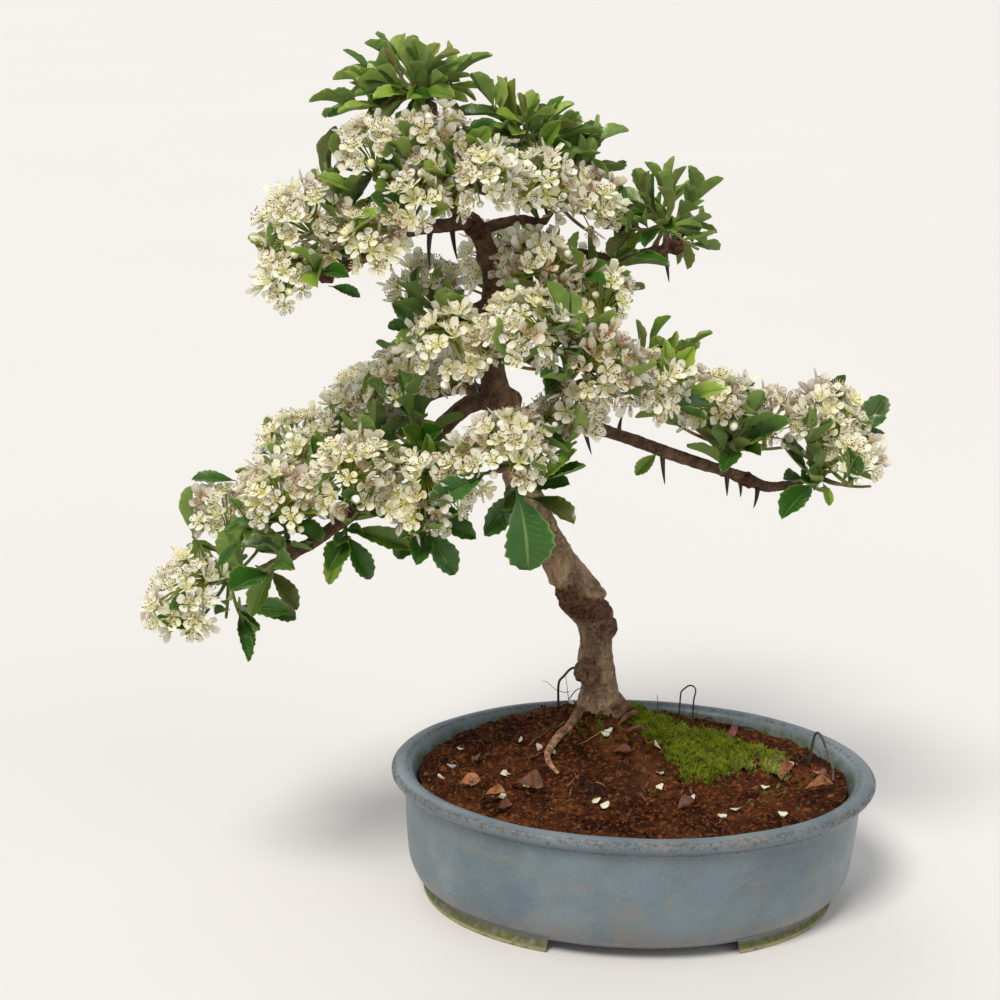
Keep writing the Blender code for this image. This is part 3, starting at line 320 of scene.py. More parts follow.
# Rootlets that stand or hang free: x, y and height over the soil
STRAY_ROOTS = [[(-20, 46, 0), (-20.5, 47, 5), (-21, 49, 10), (-21.5, 50, 14)],
               [(-20, 48, 6), (-25, 50, 8), (-30, 52, 11)], [(-20, 47, 3), (-17, 47, 6), (-14, 46, 7)],
               [(-20, 46, 2), (-24, 44, 1), (-27, 40, 0)], [(14, 48, 0), (14.5, 49, 4), (14, 50, 8)],
               [(-6, 18, 1), (-12, 12, 1), (-20, 8, 0.5)], [(-24, 20, 2), (-32, 18, 1), (-40, 14, 0)]]
# Soft lamps: name, turn, strength, width in degrees and colour
SUNS = [("key", (38, 0, -32), 2.85, 20, (1.0, 0.965, 0.91)),
        ("fill", (58, 0, 42), 0.55, 50, (0.92, 0.96, 1.0)),
        ("rim", (-50, 0, 25), 0.45, 40, (1.0, 1.0, 1.0))]
SKY = (0.93, 0.96, 1.0)
FLOOR_RADIUS = 9.0
# The camera's pitch down, turn and roll in degrees, its place in metres and its lens in millimetres
CAMERA_ANGLES = (16.2, 3.6, 2.13)
CAMERA_PLACE = (-0.0983, -0.7338, 0.3614)
CAMERA_LENS = 79.2


def mm(*values):
    """A point given in millimetres, in metres."""
    return Vector(values) * 0.001


def smooth_route(points, spans):
    """Points on a smooth curve through a route of x, y, z and radius, with so many spans a stretch."""
    rows = [Vector(p) for p in points]
    rows = [rows[0] * 2 - rows[1]] + rows + [rows[-1] * 2 - rows[-2]]
    out = []
    for i in range(1, len(rows) - 2):
        a, b, c, d = rows[i - 1:i + 3]
        for k in range(spans):
            t = k / spans
            out.append(0.5 * ((2 * b) + (c - a) * t + (2 * a - 5 * b + 4 * c - d) * t * t
                              + (3 * b - a - 3 * c + d) * t * t * t))
    out.append(rows[-2])
    return out


def routes():
    """Every branch route by name, in metres."""
    named = {"trunk": TRUNK, **BRANCHES}
    return {name: [Vector(p) * 0.001 for p in route] for name, route in named.items()}


def head_places(name):
    """The middle and radius of each head of a spray."""
    return [(mm(*head[:3]), head[3] * 0.001) for group in SPRAYS[name][2] for head in group]


def hub(name):
    """The place where a spray's stem divides."""
    branch, place, _, tips = SPRAYS[name]
    row = routes()[branch][place]
    ends = [middle for middle, _ in head_places(name)] + [mm(*tip) for tip in tips]
    way = sum(ends, Vector()) / len(ends) - row.xyz
    far = max(way.length * 0.36, row[3] + SPUR_REACH + HUB_REACH)
    return row.xyz + way.normalized() * far


def spur(name):
    """The woody spur of a spray: its start on the branch's axis, direction and length."""
    branch, place = SPRAYS[name][:2]
    row = routes()[branch][place]
    return row.xyz, (hub(name) - row.xyz).normalized(), row[3] + SPUR_REACH


def cluster_seats(name):
    """For each cluster of a spray, the middle, radius and stem direction of the head that the stem holds."""
    middle = hub(name)
    seats = []
    for group in SPRAYS[name][2]:
        place = mm(*group[0][:3])
        seats.append((place, group[0][3] * 0.001, (place - middle).normalized()))
    return seats


def sagging(start, end, share):
    """The middle of a shoot that sags by a share of its length."""
    return start.lerp(end, 0.5) - UPWARD * (share * (end - start).length)


def spray_stems(name):
    """Stems of a spray as (points, leaf count): the first runs from the spur to the hub."""
    start, way, far = spur(name)
    middle = hub(name)
    stems = [([start + way * (far + GAP), middle + way * STEM_RADIUS], 0)]
    for centre, size, out in cluster_seats(name):
        stems.append(([middle - out * STEM_RADIUS, centre - out * (CORE_SHARE * size + GAP)], HEAD_LEAVES))
    for tip in SPRAYS[name][3]:
        end = mm(*tip)
        out = (end - middle).normalized()
        count = YOUNG_TIP_LEAVES if name in YOUNG_SPRAYS else TIP_LEAVES
        stems.append(([middle - out * STEM_RADIUS, sagging(middle, end, TIP_SAG), end], count))
    return stems


def along(points, share):
    """The point and direction at a share of the way along a stem."""
    spans = len(points) - 1
    k = min(int(share * spans), spans - 1)
    way = points[k + 1] - points[k]
    return points[k] + way * (share * spans - k), way.normalized()


def level_side(way):
    """A level direction square to another, if it isn't upright."""
    side = way.cross(UPWARD)
    return side.normalized() if side.length > 0.1 else Vector((1, 0, 0))


def squared(face, aim):
    """A direction turned square to another."""
    return (face - aim * face.dot(aim)).normalized()


def leaf_tries(name, stem, points, count, k):
    """Placings to try for one leaf: its foot, direction, upper side and length."""
    leafy_tip = count > HEAD_LEAVES
    shortest, longest = YOUNG_LENGTH if name in YOUNG_SPRAYS else LEAF_LENGTH
    for attempt in range(LEAF_TRIES):
        draw = random.Random(f"{name} {stem} {k} {attempt}")
        share = 0.30 + 0.68 * (k + 1) / count if leafy_tip else 0.25 + 0.5 * draw.random()
        spot, way = along(points, share)
        side = level_side(way)
        other = way.cross(side)
        turn = GOLDEN * (k + stem) + draw.uniform(-0.5, 0.5) * (1 + attempt)
        spread = side * math.cos(turn) + other * math.sin(turn)
        lean = 0.3 if leafy_tip and k == count - 1 else draw.uniform(0.75, 1.15)
        aim = (way * math.cos(lean) + spread * math.sin(lean) + UPWARD * 0.12).normalized()
        face = squared(way * 0.7 + UPWARD * 0.9, aim)
        yield spot, aim, face, draw.uniform(shortest, longest) * (1 - 0.045 * attempt)


def placing(spot, along_x, up, size):
    """A matrix that puts a template's X along one direction and its Z near another."""
    x = along_x.normalized()
    y = up.cross(x).normalized()
    z = x.cross(y)
    turn = Matrix((x, y, z)).transposed().to_4x4()
    return Matrix.Translation(spot) @ turn @ Matrix.Scale(size, 4)


def dome_axis(out):
    """The way a head faces: out from its stem and up to the light."""
    return (out * 0.6 + UPWARD * 0.7).normalized()


def unit(vectors):
    """Vectors brought to length one."""
    vectors = np.asarray(vectors, float)
    return vectors / np.maximum(np.linalg.norm(vectors, axis=-1, keepdims=True), 1e-12)


def lumps(spots, size, seed):
    """Smooth noise from -1 to 1 at points, with lumps of about a given size."""
    spots = np.asarray(spots, float) / size + seed * 7.31
    cell = np.floor(spots)
    part = spots - cell
    part = part * part * (3 - 2 * part)
    cell = cell.astype(np.int64)
    total = np.zeros(len(spots))
    for corner in range(8):
        step = np.array([corner & 1, corner >> 1 & 1, corner >> 2 & 1])
        key = (cell + step) @ np.array([73856093, 19349663, 83492791]) + seed * 7919
        key = (key ^ (key >> 13)) * 1274126177
        value = ((key ^ (key >> 16)) & 0xFFFF) / 32767.5 - 1
        total += np.where(step == 1, part, 1 - part).prod(axis=1) * value
    return total


def smoothstep(value, low, high):
    """A soft step from 0 at low to 1 at high."""
    share = np.clip((np.asarray(value, float) - low) / (high - low), 0, 1)
    return share * share * (3 - 2 * share)


def trunk_distance(x, y):
    """How far places lie from the middle of the trunk's foot."""
    return np.hypot(x - TRUNK_X, y - TRUNK_Y)


def soil_top(x, y):
    """The height of the CAD soil's surface, mounded at the trunk."""
    mound = SOIL_MOUND * np.exp(-(trunk_distance(x, y) / SOIL_MOUND_SPREAD) ** 2)
    grain = np.sin(x * 410 + 1.3) * np.cos(y * 370 - 0.4) + 0.6 * np.sin(x * 890 + y * 760)
    return SOIL_EDGE_HEIGHT + mound + SOIL_GRAIN * grain


def flat_places(x, y):
    """Places on the ground as points, to read lumps at."""
    return np.stack([x, y, np.zeros_like(x)], -1)


def soil_surface(x, y):
    """The height of the crumbly surface that shows."""
    flat = flat_places(x, y)
    rough = 0.0006 * lumps(flat, 0.0045, 3) + 0.0005 * lumps(flat, 0.0021, 4)
    rough = rough + 0.0003 * lumps(flat, 0.0010, 5)
    return soil_top(x, y) + rough + 0.0062 * np.exp(-(trunk_distance(x, y) / 0.0135) ** 2)


class Heap:
    """Gathers the points and faces of the many small growths that make up one piece."""

    def __init__(self):
        self.spots, self.faces, self.kinds = [], [], []
        self.marks, self.sheets = [], []
        self.count = 0

    def add(self, spots, faces, kind=0, marks=(0, 0, 0, 0), sheet=None):
        """Adds points and faces, each face with its finish, each point with four marks and a flat place."""
        spots = np.asarray(spots, float).reshape(-1, 3)
        faces = np.asarray(faces, np.int64).reshape(-1, 3)
        self.spots.append(spots)
        self.faces.append(faces + self.count)
        self.kinds.append(np.broadcast_to(np.asarray(kind, np.int32), (len(faces),)))
        self.marks.append(np.broadcast_to(np.asarray(marks, float), (len(spots), 4)))
        self.sheets.append(np.zeros((len(spots), 2)) if sheet is None else np.asarray(sheet, float))
        self.count += len(spots)

    def strew(self, form, turns, places, sizes, marks=None):
        """Adds a copy of a form at every place, turned and sized, with its own marks."""
        spots, faces, kinds, own_marks, sheet = form
        many = len(places)
        if not many:
            return
        sizes = np.asarray(sizes, float).reshape(many, 1, -1)
        placed = np.einsum("nij,nvj->nvi", turns, spots[None] * sizes) + np.asarray(places)[:, None]
        steps = np.arange(many)[:, None, None] * len(spots)
        all_marks = np.broadcast_to(own_marks[None], (many, len(spots), 4)).copy()
        if marks is not None:
            all_marks[:, :, 1:] = np.asarray(marks)[:, None, :]
        self.add(placed, faces[None] + steps, np.tile(kinds, many), all_marks.reshape(-1, 4),
                 np.tile(sheet, (many, 1)))

    def strew_mixed(self, forms, pick, turns, places, sizes, marks):
        """Strews several forms, with the number of the form that each place gets."""
        for k, form in enumerate(forms):
            here = pick == k
            self.strew(form, turns[here], places[here], sizes[here], marks[here])

    def piece(self, name, finishes, stands_for=(), crease=None):
        """The finished piece, kept inside the CAD part's box and fixed to it."""
        low, high = np.array(BOX_LOW) + 1e-6, np.array(BOX_HIGH) - 1e-6
        spots = np.clip(np.concatenate(self.spots) + SHIFT, low, high)
        faces = np.concatenate(self.faces)
        mesh = bpy.data.meshes.new(name)
        mesh.vertices.add(len(spots))
        mesh.vertices.foreach_set("co", spots.ravel())
        mesh.loops.add(faces.size)
        mesh.loops.foreach_set("vertex_index", faces.ravel().astype(np.int32))
        mesh.polygons.add(len(faces))
        mesh.polygons.foreach_set("loop_start", np.arange(0, faces.size, 3, dtype=np.int32))
        for finish in finishes:
            mesh.materials.append(finish)
        mesh.polygons.foreach_set("material_index", np.concatenate(self.kinds).astype(np.int32))
        mesh.update(calc_edges=True)
        mesh.validate()
        mesh.shade_smooth()
        marks = mesh.color_attributes.new("marks", "FLOAT_COLOR", "POINT")
        marks.data.foreach_set("color", np.concatenate(self.marks).ravel().astype(np.float32))
        sheet = np.concatenate(self.sheets)
        if np.any(sheet):
            corners = np.zeros(len(mesh.loops), np.int32)
            mesh.loops.foreach_get("vertex_index", corners)
            flat = mesh.uv_layers.new(name="sheet").data
            flat.foreach_set("uv", sheet[corners].ravel().astype(np.float32))
        if crease is not None:
            mesh.set_sharp_from_angle(angle=math.radians(crease))
        return fix_piece(name, mesh, stands_for)


def fix_piece(name, mesh, stands_for=()):
    """An object for a mesh, fixed to the frame in place of some CAD nodes."""
    made = bpy.data.objects.new(name, mesh)
    bpy.context.scene.collection.objects.link(made)
    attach(made, "root")
    if stands_for:
        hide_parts(*stands_for)
    return made


def blank_marks(count, first=0.0):
    """Four marks for each point, all nought but the first."""
    marks = np.zeros((count, 4))
    marks[:, 0] = first
    return marks


def simple_form(spots, faces, first=0.0):
    """A closed form with one finish, to strew."""
    count = len(spots)
    kinds, sheet = np.zeros(len(faces), int), np.zeros((count, 2))
    return spots, outward(spots, faces), kinds, blank_marks(count, first), sheet


def tube_faces(count, sides, foot=None, tip=None):
    """Triangles over rings of points that follow one another, and over the middle points of its ends."""
    k = np.arange(sides)
    n = (k + 1) % sides
    low = (np.arange(count - 1) * sides)[:, None]
    last = (count - 1) * sides
    faces = [np.stack([low + k, low + n, low + sides + n], -1),
             np.stack([low + k, low + sides + n, low + sides + k], -1)]
    if foot is not None:
        faces.append(np.stack([n, k, np.full(sides, foot)], -1))
    if tip is not None:
        faces.append(np.stack([last + k, last + n, np.full(sides, tip)], -1))
    return np.concatenate([part.reshape(-1, 3) for part in faces])


def strands(paths, radii, sides, closed=False):
    """Round strands along paths of points, all with the same number of points, as points and faces."""
    paths, radii = np.asarray(paths, float), np.asarray(radii, float)
    many, steps = paths.shape[:2]
    way = unit(np.gradient(paths, axis=1))
    whole = unit(paths[:, -1] - paths[:, 0])
    guide = np.cross(whole, OFF_AXIS)
    guide = np.where(np.linalg.norm(guide, axis=1, keepdims=True) < 0.2, np.cross(whole, [1.0, 0, 0]), guide)
    side = unit(np.cross(way, unit(guide)[:, None]))
    other = np.cross(side, way)
    turn = 2 * np.pi * np.arange(sides) / sides
    ring = side[:, :, None] * np.cos(turn)[:, None] + other[:, :, None] * np.sin(turn)[:, None]
    spots = (paths[:, :, None] + ring * radii[:, :, None, None]).reshape(many, steps * sides, 3)
    faces = tube_faces(steps, sides)
    if closed:
        spots = np.concatenate([spots, paths[:, :1], paths[:, -1:]], axis=1)
        faces = tube_faces(steps, sides, steps * sides, steps * sides + 1)
    faces = faces[None, :, ::-1] + (np.arange(many) * spots.shape[1])[:, None, None]
    return spots.reshape(-1, 3), faces.reshape(-1, 3)


def outward(spots, faces):
    """The faces of a closed form, turned to look out."""
    a, b, c = (spots[faces[:, k]] for k in range(3))
    return faces if np.einsum("ij,ij->", a, np.cross(b, c)) > 0 else faces[:, ::-1]


def skin(rings, start, end):
    """A closed form over rings of points, with a middle point at each end."""
    rings = np.asarray(rings, float)
    count, sides = rings.shape[:2]
    spots = np.concatenate([rings.reshape(-1, 3), [start, end]])
    return spots, outward(spots, tube_faces(count, sides, count * sides, count * sides + 1))


def bend(start, middle, end, steps):
    """Points on smooth arcs from starts to ends, pulled towards middles."""
    share = np.linspace(0, 1, steps)[None, :, None]
    start, middle, end = (np.asarray(p, float)[:, None] for p in (start, middle, end))
    return start * (1 - share) ** 2 + middle * 2 * share * (1 - share) + end * share ** 2


def frames_towards(out, spin):
    """Turns that bring a form's Z to face outward, each with its own spin."""
    out = unit(out)
    guide = np.where(np.abs(out[:, 2:3]) < 0.9, UP, np.array([1.0, 0, 0]))
    side = unit(np.cross(guide, out))
    other = np.cross(out, side)
    c, s = np.cos(spin)[:, None], np.sin(spin)[:, None]
    return np.stack([side * c + other * s, other * c - side * s, out], axis=-1)


def ball(sides, rings):
    """Points and faces of a small ball of radius one."""
    fall = np.pi * np.arange(1, rings)[:, None] / rings
    turn = 2 * np.pi * (np.arange(sides) + 0.5 * (np.arange(1, rings)[:, None] % 2)) / sides
    half, height = np.sin(fall), np.cos(fall) + 0 * turn
    return skin(np.stack([half * np.cos(turn), half * np.sin(turn), height], -1), (0, 0, 1), (0, 0, -1))


class Finish:
    """Builds one finish from nodes round a Principled shader."""

    def __init__(self, name, roughness=0.5, **settings):
        self.made = bpy.data.materials.new(name)
        self.made.use_nodes = True
        self.tree = self.made.node_tree
        self.shader = self.tree.nodes["Principled BSDF"]
        self.shader.inputs["Roughness"].default_value = roughness
        for key, value in settings.items():
            self.shader.inputs[key.replace("_", " ")].default_value = value
        self.place = self.node("TexCoord").outputs["Object"]
        self.marks = self.node("VertexColor", layer_name="marks").outputs
        self.split = self.node("SeparateColor", {"Color": self.marks["Color"]}).outputs

    def feed(self, socket, value):
        """Links another socket to a socket, or sets its value."""
        if isinstance(value, bpy.types.NodeSocket):
            self.tree.links.new(value, socket)
        elif socket.type == "RGBA" and len(value) == 3:
            socket.default_value = (*value, 1.0)
        else:
            socket.default_value = value

    def node(self, kind, inputs=None, **settings):
        """A shader node with its inputs fed."""
        made = self.tree.nodes.new("ShaderNode" + kind)
        for key, value in settings.items():
            setattr(made, key, value)
        for key, value in (inputs or {}).items():
            self.feed(made.inputs[key], value)
        return made

    def mark(self, channel):
        """One of the four marks kept in the mesh."""
        return self.marks["Alpha"] if channel == 3 else self.split[channel]

    def axis(self, name, vector=None):
        """One axis of a vector, or of the place on the plant."""
        return self.node("SeparateXYZ", {"Vector": vector or self.place}).outputs[name]

    def off_rib(self):
        """Along a leaf, and how far off its rib, both from 0 to 1."""
        sheet = self.node("UVMap", uv_map="sheet").outputs["UV"]
        aside = self.math("MULTIPLY", self.math("SUBTRACT", self.axis("Y", sheet), 0.5), 2.0)
        return self.axis("X", sheet), self.math("ABSOLUTE", aside)

    def cloud(self, scale, detail=4.0, rough=0.55, where=None, twist=0.0):
        """Soft noise from 0 to 1, with about so many lumps a metre."""
        inputs = {"Vector": where or self.place, "Scale": scale, "Detail": detail, "Roughness": rough,
                  "Distortion": twist}
        return self.node("TexNoise", inputs).outputs["Fac"]

    def cells(self, scale, output="Distance"):
        """Cells, with about so many a metre: the distance from their middles, or their colours."""
        return self.node("TexVoronoi", {"Vector": self.place, "Scale": scale}).outputs[output]

    def step(self, value, low, high):
        """A soft step from 0 to 1 between two values."""
        inputs = {"Value": value, "From Min": low, "From Max": high}
        return self.node("MapRange", inputs, interpolation_type="SMOOTHSTEP").outputs["Result"]

    def patches(self, low, high, *cloud):
        """Soft patches where a cloud rises from one value to another."""
        return self.step(self.cloud(*cloud), low, high)

    def math(self, kind, one, two=0.0):
        """A sum, product or other result of two values."""
        return self.node("Math", {0: one, 1: two}, operation=kind).outputs[0]

    def times(self, one, two):
        """The product of two values."""
        return self.math("MULTIPLY", one, two)

    def swayed(self, value, spread, *cloud):
        """A value that a cloud moves up and down within a spread."""
        return self.math("ADD", value, self.times(self.math("SUBTRACT", self.cloud(*cloud), 0.5), spread))

    def mix(self, share, one, two):
        """One colour laid over another by a share."""
        return self.node("Mix", {0: share, 6: one, 7: two}, data_type="RGBA").outputs[2]

    def layers(self, colour, *coats):
        """A colour under coats, each given by where it lies, its strength and its own colour."""
        for share, strength, coat in coats:
            colour = self.mix(share if strength == 1 else self.times(share, strength), colour, coat)
        return colour

    def colour(self, value):
        """The finish's colour."""
        self.feed(self.shader.inputs["Base Color"], value)

    def roughness(self, value, low, high):
        """Roughness that a value moves between two others."""
        inputs = {"Value": value, "To Min": low, "To Max": high}
        self.feed(self.shader.inputs["Roughness"], self.node("MapRange", inputs).outputs["Result"])

    def relief(self, height, depth, strength=1.0):
        """Fine relief of a depth in metres."""
        inputs = {"Height": height, "Distance": depth, "Strength": strength}
        self.feed(self.shader.inputs["Normal"], self.node("Bump", inputs).outputs["Normal"])


def shade(colour, share):
    """A darker or lighter colour."""
    return tuple(channel * share for channel in colour)


def evaluated_mesh(obj):
    """The mesh of an object with its modifiers applied."""
    bpy.context.view_layer.update()
    graph = bpy.context.evaluated_depsgraph_get()
    return bpy.data.meshes.new_from_object(obj.evaluated_get(graph))


def work_object(name, spots, faces):
    """A passing object, used only to cut or fuse a piece."""
    mesh = bpy.data.meshes.new(name)
    mesh.from_pydata(np.asarray(spots).tolist(), [], np.asarray(faces).tolist())
    made = bpy.data.objects.new(name, mesh)
    bpy.context.scene.collection.objects.link(made)
    return made


def block(low, high):
    """Points and outward faces of a box."""
    spots = [(x, y, z) for x in (low[0], high[0]) for y in (low[1], high[1]) for z in (low[2], high[2])]
    faces = [(0, 1, 3), (0, 3, 2), (4, 6, 7), (4, 7, 5), (0, 4, 5), (0, 5, 1), (2, 3, 7), (2, 7, 6),
             (0, 2, 6), (0, 6, 4), (1, 5, 7), (1, 7, 3)]
    return np.array(spots, float), np.array(faces)


def carve(spots, faces, cutters):
    """What is left of a closed form when the cutters are taken out, as points and faces."""
    body = work_object("body", spots, faces)
    tools = []
    for cutter in cutters:
        tool = work_object("cutter", *cutter)
        cut = body.modifiers.new("cut", "BOOLEAN")
        cut.operation = "DIFFERENCE"
        cut.solver = "MANIFOLD"
        cut.object = tool
        tools.append(tool)
    mesh = evaluated_mesh(body)
    for obj in [body] + tools:
        bpy.data.objects.remove(obj)
    return mesh_arrays(mesh)


def mesh_arrays(mesh):
    """The points and triangles of a mesh, which is then dropped."""
    spots = np.zeros(len(mesh.vertices) * 3)
    mesh.vertices.foreach_get("co", spots)
    mesh.calc_loop_triangles()
    faces = np.zeros(len(mesh.loop_triangles) * 3, np.int32)
    mesh.loop_triangles.foreach_get("vertices", faces)
    bpy.data.meshes.remove(mesh)
    return spots.reshape(-1, 3), faces.reshape(-1, 3)


# Pot

def pot_section():
    """The pot's section with softened corners and short steps."""
    points = np.array(POT_SECTION)
    for _ in range(2):
        rows = [points[0]]
        for a, b in zip(points, points[1:]):
            near = min(0.25, 0.0012 / max(np.linalg.norm(b - a), 1e-9))
            rows += [a + (b - a) * near, b - (b - a) * near]
        points = np.array(rows + [points[-1]])
    rows = [points[0]]
    for a, b in zip(points, points[1:]):
        far = np.linalg.norm(b - a)
        if far > 1e-7:
            count = max(1, int(far / 0.0022)) if a[0] > 0.06 else max(1, int(far / 0.02))
            rows += [a + (b - a) * (k + 1) / count for k in range(count)]
    return np.array(rows)


def lathe(rows):
    """A closed oval turning of rows of half length and height that start and end on the axis."""
    turn = 2 * np.pi * np.arange(POT_TURNS) / POT_TURNS
    oval = np.stack([np.cos(turn), np.sin(turn) * POT_DEPTH_RATIO], -1)
    rings = [np.column_stack([oval * half, np.full(POT_TURNS, z)]) for half, z in rows[1:-1]]
    return skin(rings, (0, 0, rows[0, 1]), (0, 0, rows[-1, 1]))


def round_bar(x, low, high, radius):
    """A closed upright bar, to drill a drain hole."""
    return strands([[(x, 0, low), (x, 0, high)]], [[radius, radius]], 32, closed=True)


def slanted_gap():
    """The gap between the feet, with leaning ends."""
    low = (-FOOT_GAP_HALF, -POT_HALF_LENGTH, -0.001)
    spots, faces = block(low, (FOOT_GAP_HALF, POT_HALF_LENGTH, FOOT_GAP_TOP))
    spots[:, 0] += np.where(spots[:, 2] > 0, 0.0, 0.0012) * np.sign(spots[:, 0])
    return spots, faces


def pot_marks(spots):
    """Marks for the glaze: inside wall, worn edge, foot, and small flaws."""
    out = np.hypot(spots[:, 0], spots[:, 1] / POT_DEPTH_RATIO)
    z = spots[:, 2]
    inside = smoothstep(out, 0.0812, 0.0790) * smoothstep(z, 0.036, 0.042)
    edge = sum(strength * np.exp(-((out - half) / wide) ** 2 - ((z - height) / tall) ** 2)
               for half, height, wide, tall, strength in WORN_EDGES)
    flaw = np.zeros(len(spots))
    for *place, size in POT_FLAWS:
        near = np.linalg.norm(spots - place, axis=1)
        flaw = np.maximum(flaw, smoothstep(near, size, size * 0.5))
    return np.stack([inside, np.clip(edge, 0, 1), smoothstep(z, 0.0056, 0.0036), flaw], -1)


def glaze_finish(settings):
    """Satin blue glaze, worn brown at its edges, with tan and black specks and algae on the feet."""
    f = Finish("blue_glaze", 0.38, Coat_Weight=0.12, Coat_Roughness=0.25, Specular_IOR_Level=0.45)
    height = f.axis("Z")
    splashed = f.times(f.step(height, 0.016, 0.007), f.patches(0.40, 0.62, 150, 5, 0.65))
    tan = f.step(f.cloud(38, 5, 0.65, twist=1.5), 0.50, 0.68)
    worn = f.step(f.swayed(f.mark(1), 2.2, 520, 6, 0.75), 0.42, 0.66)
    rust = f.mix(f.patches(0.40, 0.62, 700, 3, 0.6), (0.070, 0.050, 0.040), (0.185, 0.165, 0.15))
    pins = f.times(f.step(f.cells(180), 0.075, 0.045), f.patches(0.45, 0.55, 70, 1))
    algae = f.mix(f.cloud(500, 4), (0.028, 0.040, 0.012), (0.13, 0.15, 0.035))
    green = f.times(f.mark(0), f.patches(0.40, 0.60, 230, 4, 0.6))
    foot = f.layers(algae, (f.step(height, 0.0022, 0.0008), 1, (0.38, 0.33, 0.16)),
                    (f.patches(0.44, 0.64, 320, 5, 0.65), 1, (0.17, 0.15, 0.10)))
    f.colour(f.layers(f.mix(f.patches(0.35, 0.68, 26, 3), settings.glaze, settings.glaze_pale),
                      (f.patches(0.50, 0.78, 60, 4, 0.6), 0.45, (0.25, 0.24, 0.22)),
                      (splashed, 0.75, (0.21, 0.165, 0.145)),
                      (f.patches(0.58, 0.74, 2000, 1, 0.5), 0.36, (0.31, 0.32, 0.30)),
                      (f.patches(0.59, 0.72, 820, 3, 0.7), 0.55, (0.13, 0.105, 0.085)),
                      (tan, 0.42, (0.20, 0.175, 0.14)), (worn, 0.64, rust), (pins, 1, (0.02, 0.015, 0.012)),
                      (f.mark(3), 1, (0.05, 0.025, 0.018)), (green, 0.85, algae), (f.mark(2), 1, foot)))
    dull = f.math("MAXIMUM", f.math("MAXIMUM", worn, f.mark(2)), f.times(f.cloud(200, 3), 0.35))
    f.roughness(dull, 0.30, 0.85)
    pits = f.math("ADD", f.times(f.cloud(1100, 3, 0.6), 0.35), f.times(worn, -0.5))
    f.relief(f.math("ADD", pits, f.cloud(160, 3)), 0.00022, 0.8)
    return f.made


def make_pot(settings):
    """The glazed pot with its slanted feet and drain holes."""
    spots, faces = lathe(pot_section())
    cutters = [slanted_gap()]
    cutters += [round_bar(x, FLOOR_UNDER - 0.001, FLOOR_TOP + 0.001, DRAIN_RADIUS) for x in DRAIN_PLACES]
    spots, faces = carve(spots, faces, cutters)
    wall = smoothstep(spots[:, 2], 0.006, 0.012)
    spots = spots + unit(spots * [1, 1, 0]) * (wall * 0.00022 * lumps(spots, 0.021, 11))[:, None]
    spots[:, 2] += smoothstep(spots[:, 2], 0.040, 0.049) * 0.0002 * (lumps(spots, 0.016, 12) - 1)
    heap = Heap()
    heap.add(spots, faces, marks=pot_marks(spots))
    return heap.piece("glazed_pot", [glaze_finish(settings)], ["pot"], crease=50)


# Soil, moss and what lies on it

def soil_finish(settings):
    """Dark red-brown fired crumbs, damp in patches, with rusty and pale grains."""
    f = Finish("soil", 0.9, Specular_IOR_Level=0.05)
    f.colour(f.layers(f.mix(f.patches(0.38, 0.64, 75, 4, 0.6), shade(settings.soil, 0.30), settings.soil),
                      (f.patches(0.50, 0.68, 520, 4, 0.65), 1, (0.20, 0.062, 0.018)),
                      (f.mark(1), 0.8, (0.21, 0.072, 0.022)), (f.mark(2), 1, (0.012, 0.009, 0.008)),
                      (f.step(f.cells(700, "Color"), 0.90, 0.97), 0.30, (0.33, 0.24, 0.15))))
    f.roughness(f.cloud(90, 3), 0.65, 1.0)
    f.relief(f.math("ADD", f.cloud(1500, 4, 0.7), f.times(f.cells(1000), 0.8)), 0.0005)
    return f.made


def soil_body():
    """The bed of soil with a rough top, walls that follow the pot and room for the drain screens."""
    turns = 2 * np.pi * np.arange(SOIL_TURNS) / SOIL_TURNS
    edge = np.stack([np.cos(turns), np.sin(turns) * POT_DEPTH_RATIO], -1)
    rings = []
    for share in np.linspace(0.012, 1, SOIL_RINGS):
        flat = edge * SOIL_HALF_LENGTH * share
        rings.append(np.column_stack([flat, soil_surface(flat[:, 0], flat[:, 1])]))
    rings += [np.column_stack([edge * half, np.full(SOIL_TURNS, z)]) for half, z in SOIL_WALLS]
    middle = soil_surface(np.zeros(1), np.zeros(1))[0]
    spots, faces = skin(rings[::-1], (0, 0, SOIL_WALLS[-1][1]), (0, 0, middle))
    rooms = [block((x - SCREEN_ROOM, -SCREEN_ROOM, FLOOR_TOP - 0.001),
                   (x + SCREEN_ROOM, SCREEN_ROOM, FLOOR_TOP + 0.0016)) for x in DRAIN_PLACES]
    return carve(spots, faces, rooms)


def crumb_forms():
    """Six broken crumbs of soil."""
    forms = []
    for k in range(6):
        spots, faces = ball(5, 3)
        broken = (1 + 0.30 * lumps(spots, 0.8, 20 + k))[:, None]
        forms.append(simple_form(spots * broken * (1.0, 0.85, 0.7), faces))
    return forms


def in_moss(x, y):
    """How deep in the moss a place lies, from 0 outside to 1 well inside."""
    turn = np.degrees(np.arctan2(y - TRUNK_Y, x - TRUNK_X))
    far = trunk_distance(x, y)
    flat = flat_places(x, y)
    ragged = 0.0062 * lumps(flat, 0.010, 31) + 0.0034 * lumps(flat, 0.0038, 32)
    ragged = ragged - 0.012 * smoothstep(lumps(flat, 0.0075, 35), 0.25, 0.6) * smoothstep(x, 0.012, 0.034)
    side = np.radians(np.minimum(turn - MOSS_FROM, MOSS_TO - turn)) * far
    front = 0.76 * x + 0.65 * y - 0.0135
    depth = np.minimum(np.minimum(np.minimum(moss_reach(turn) - far, side), far - 0.0105), front) + ragged
    return smoothstep(depth, -0.001, 0.006)


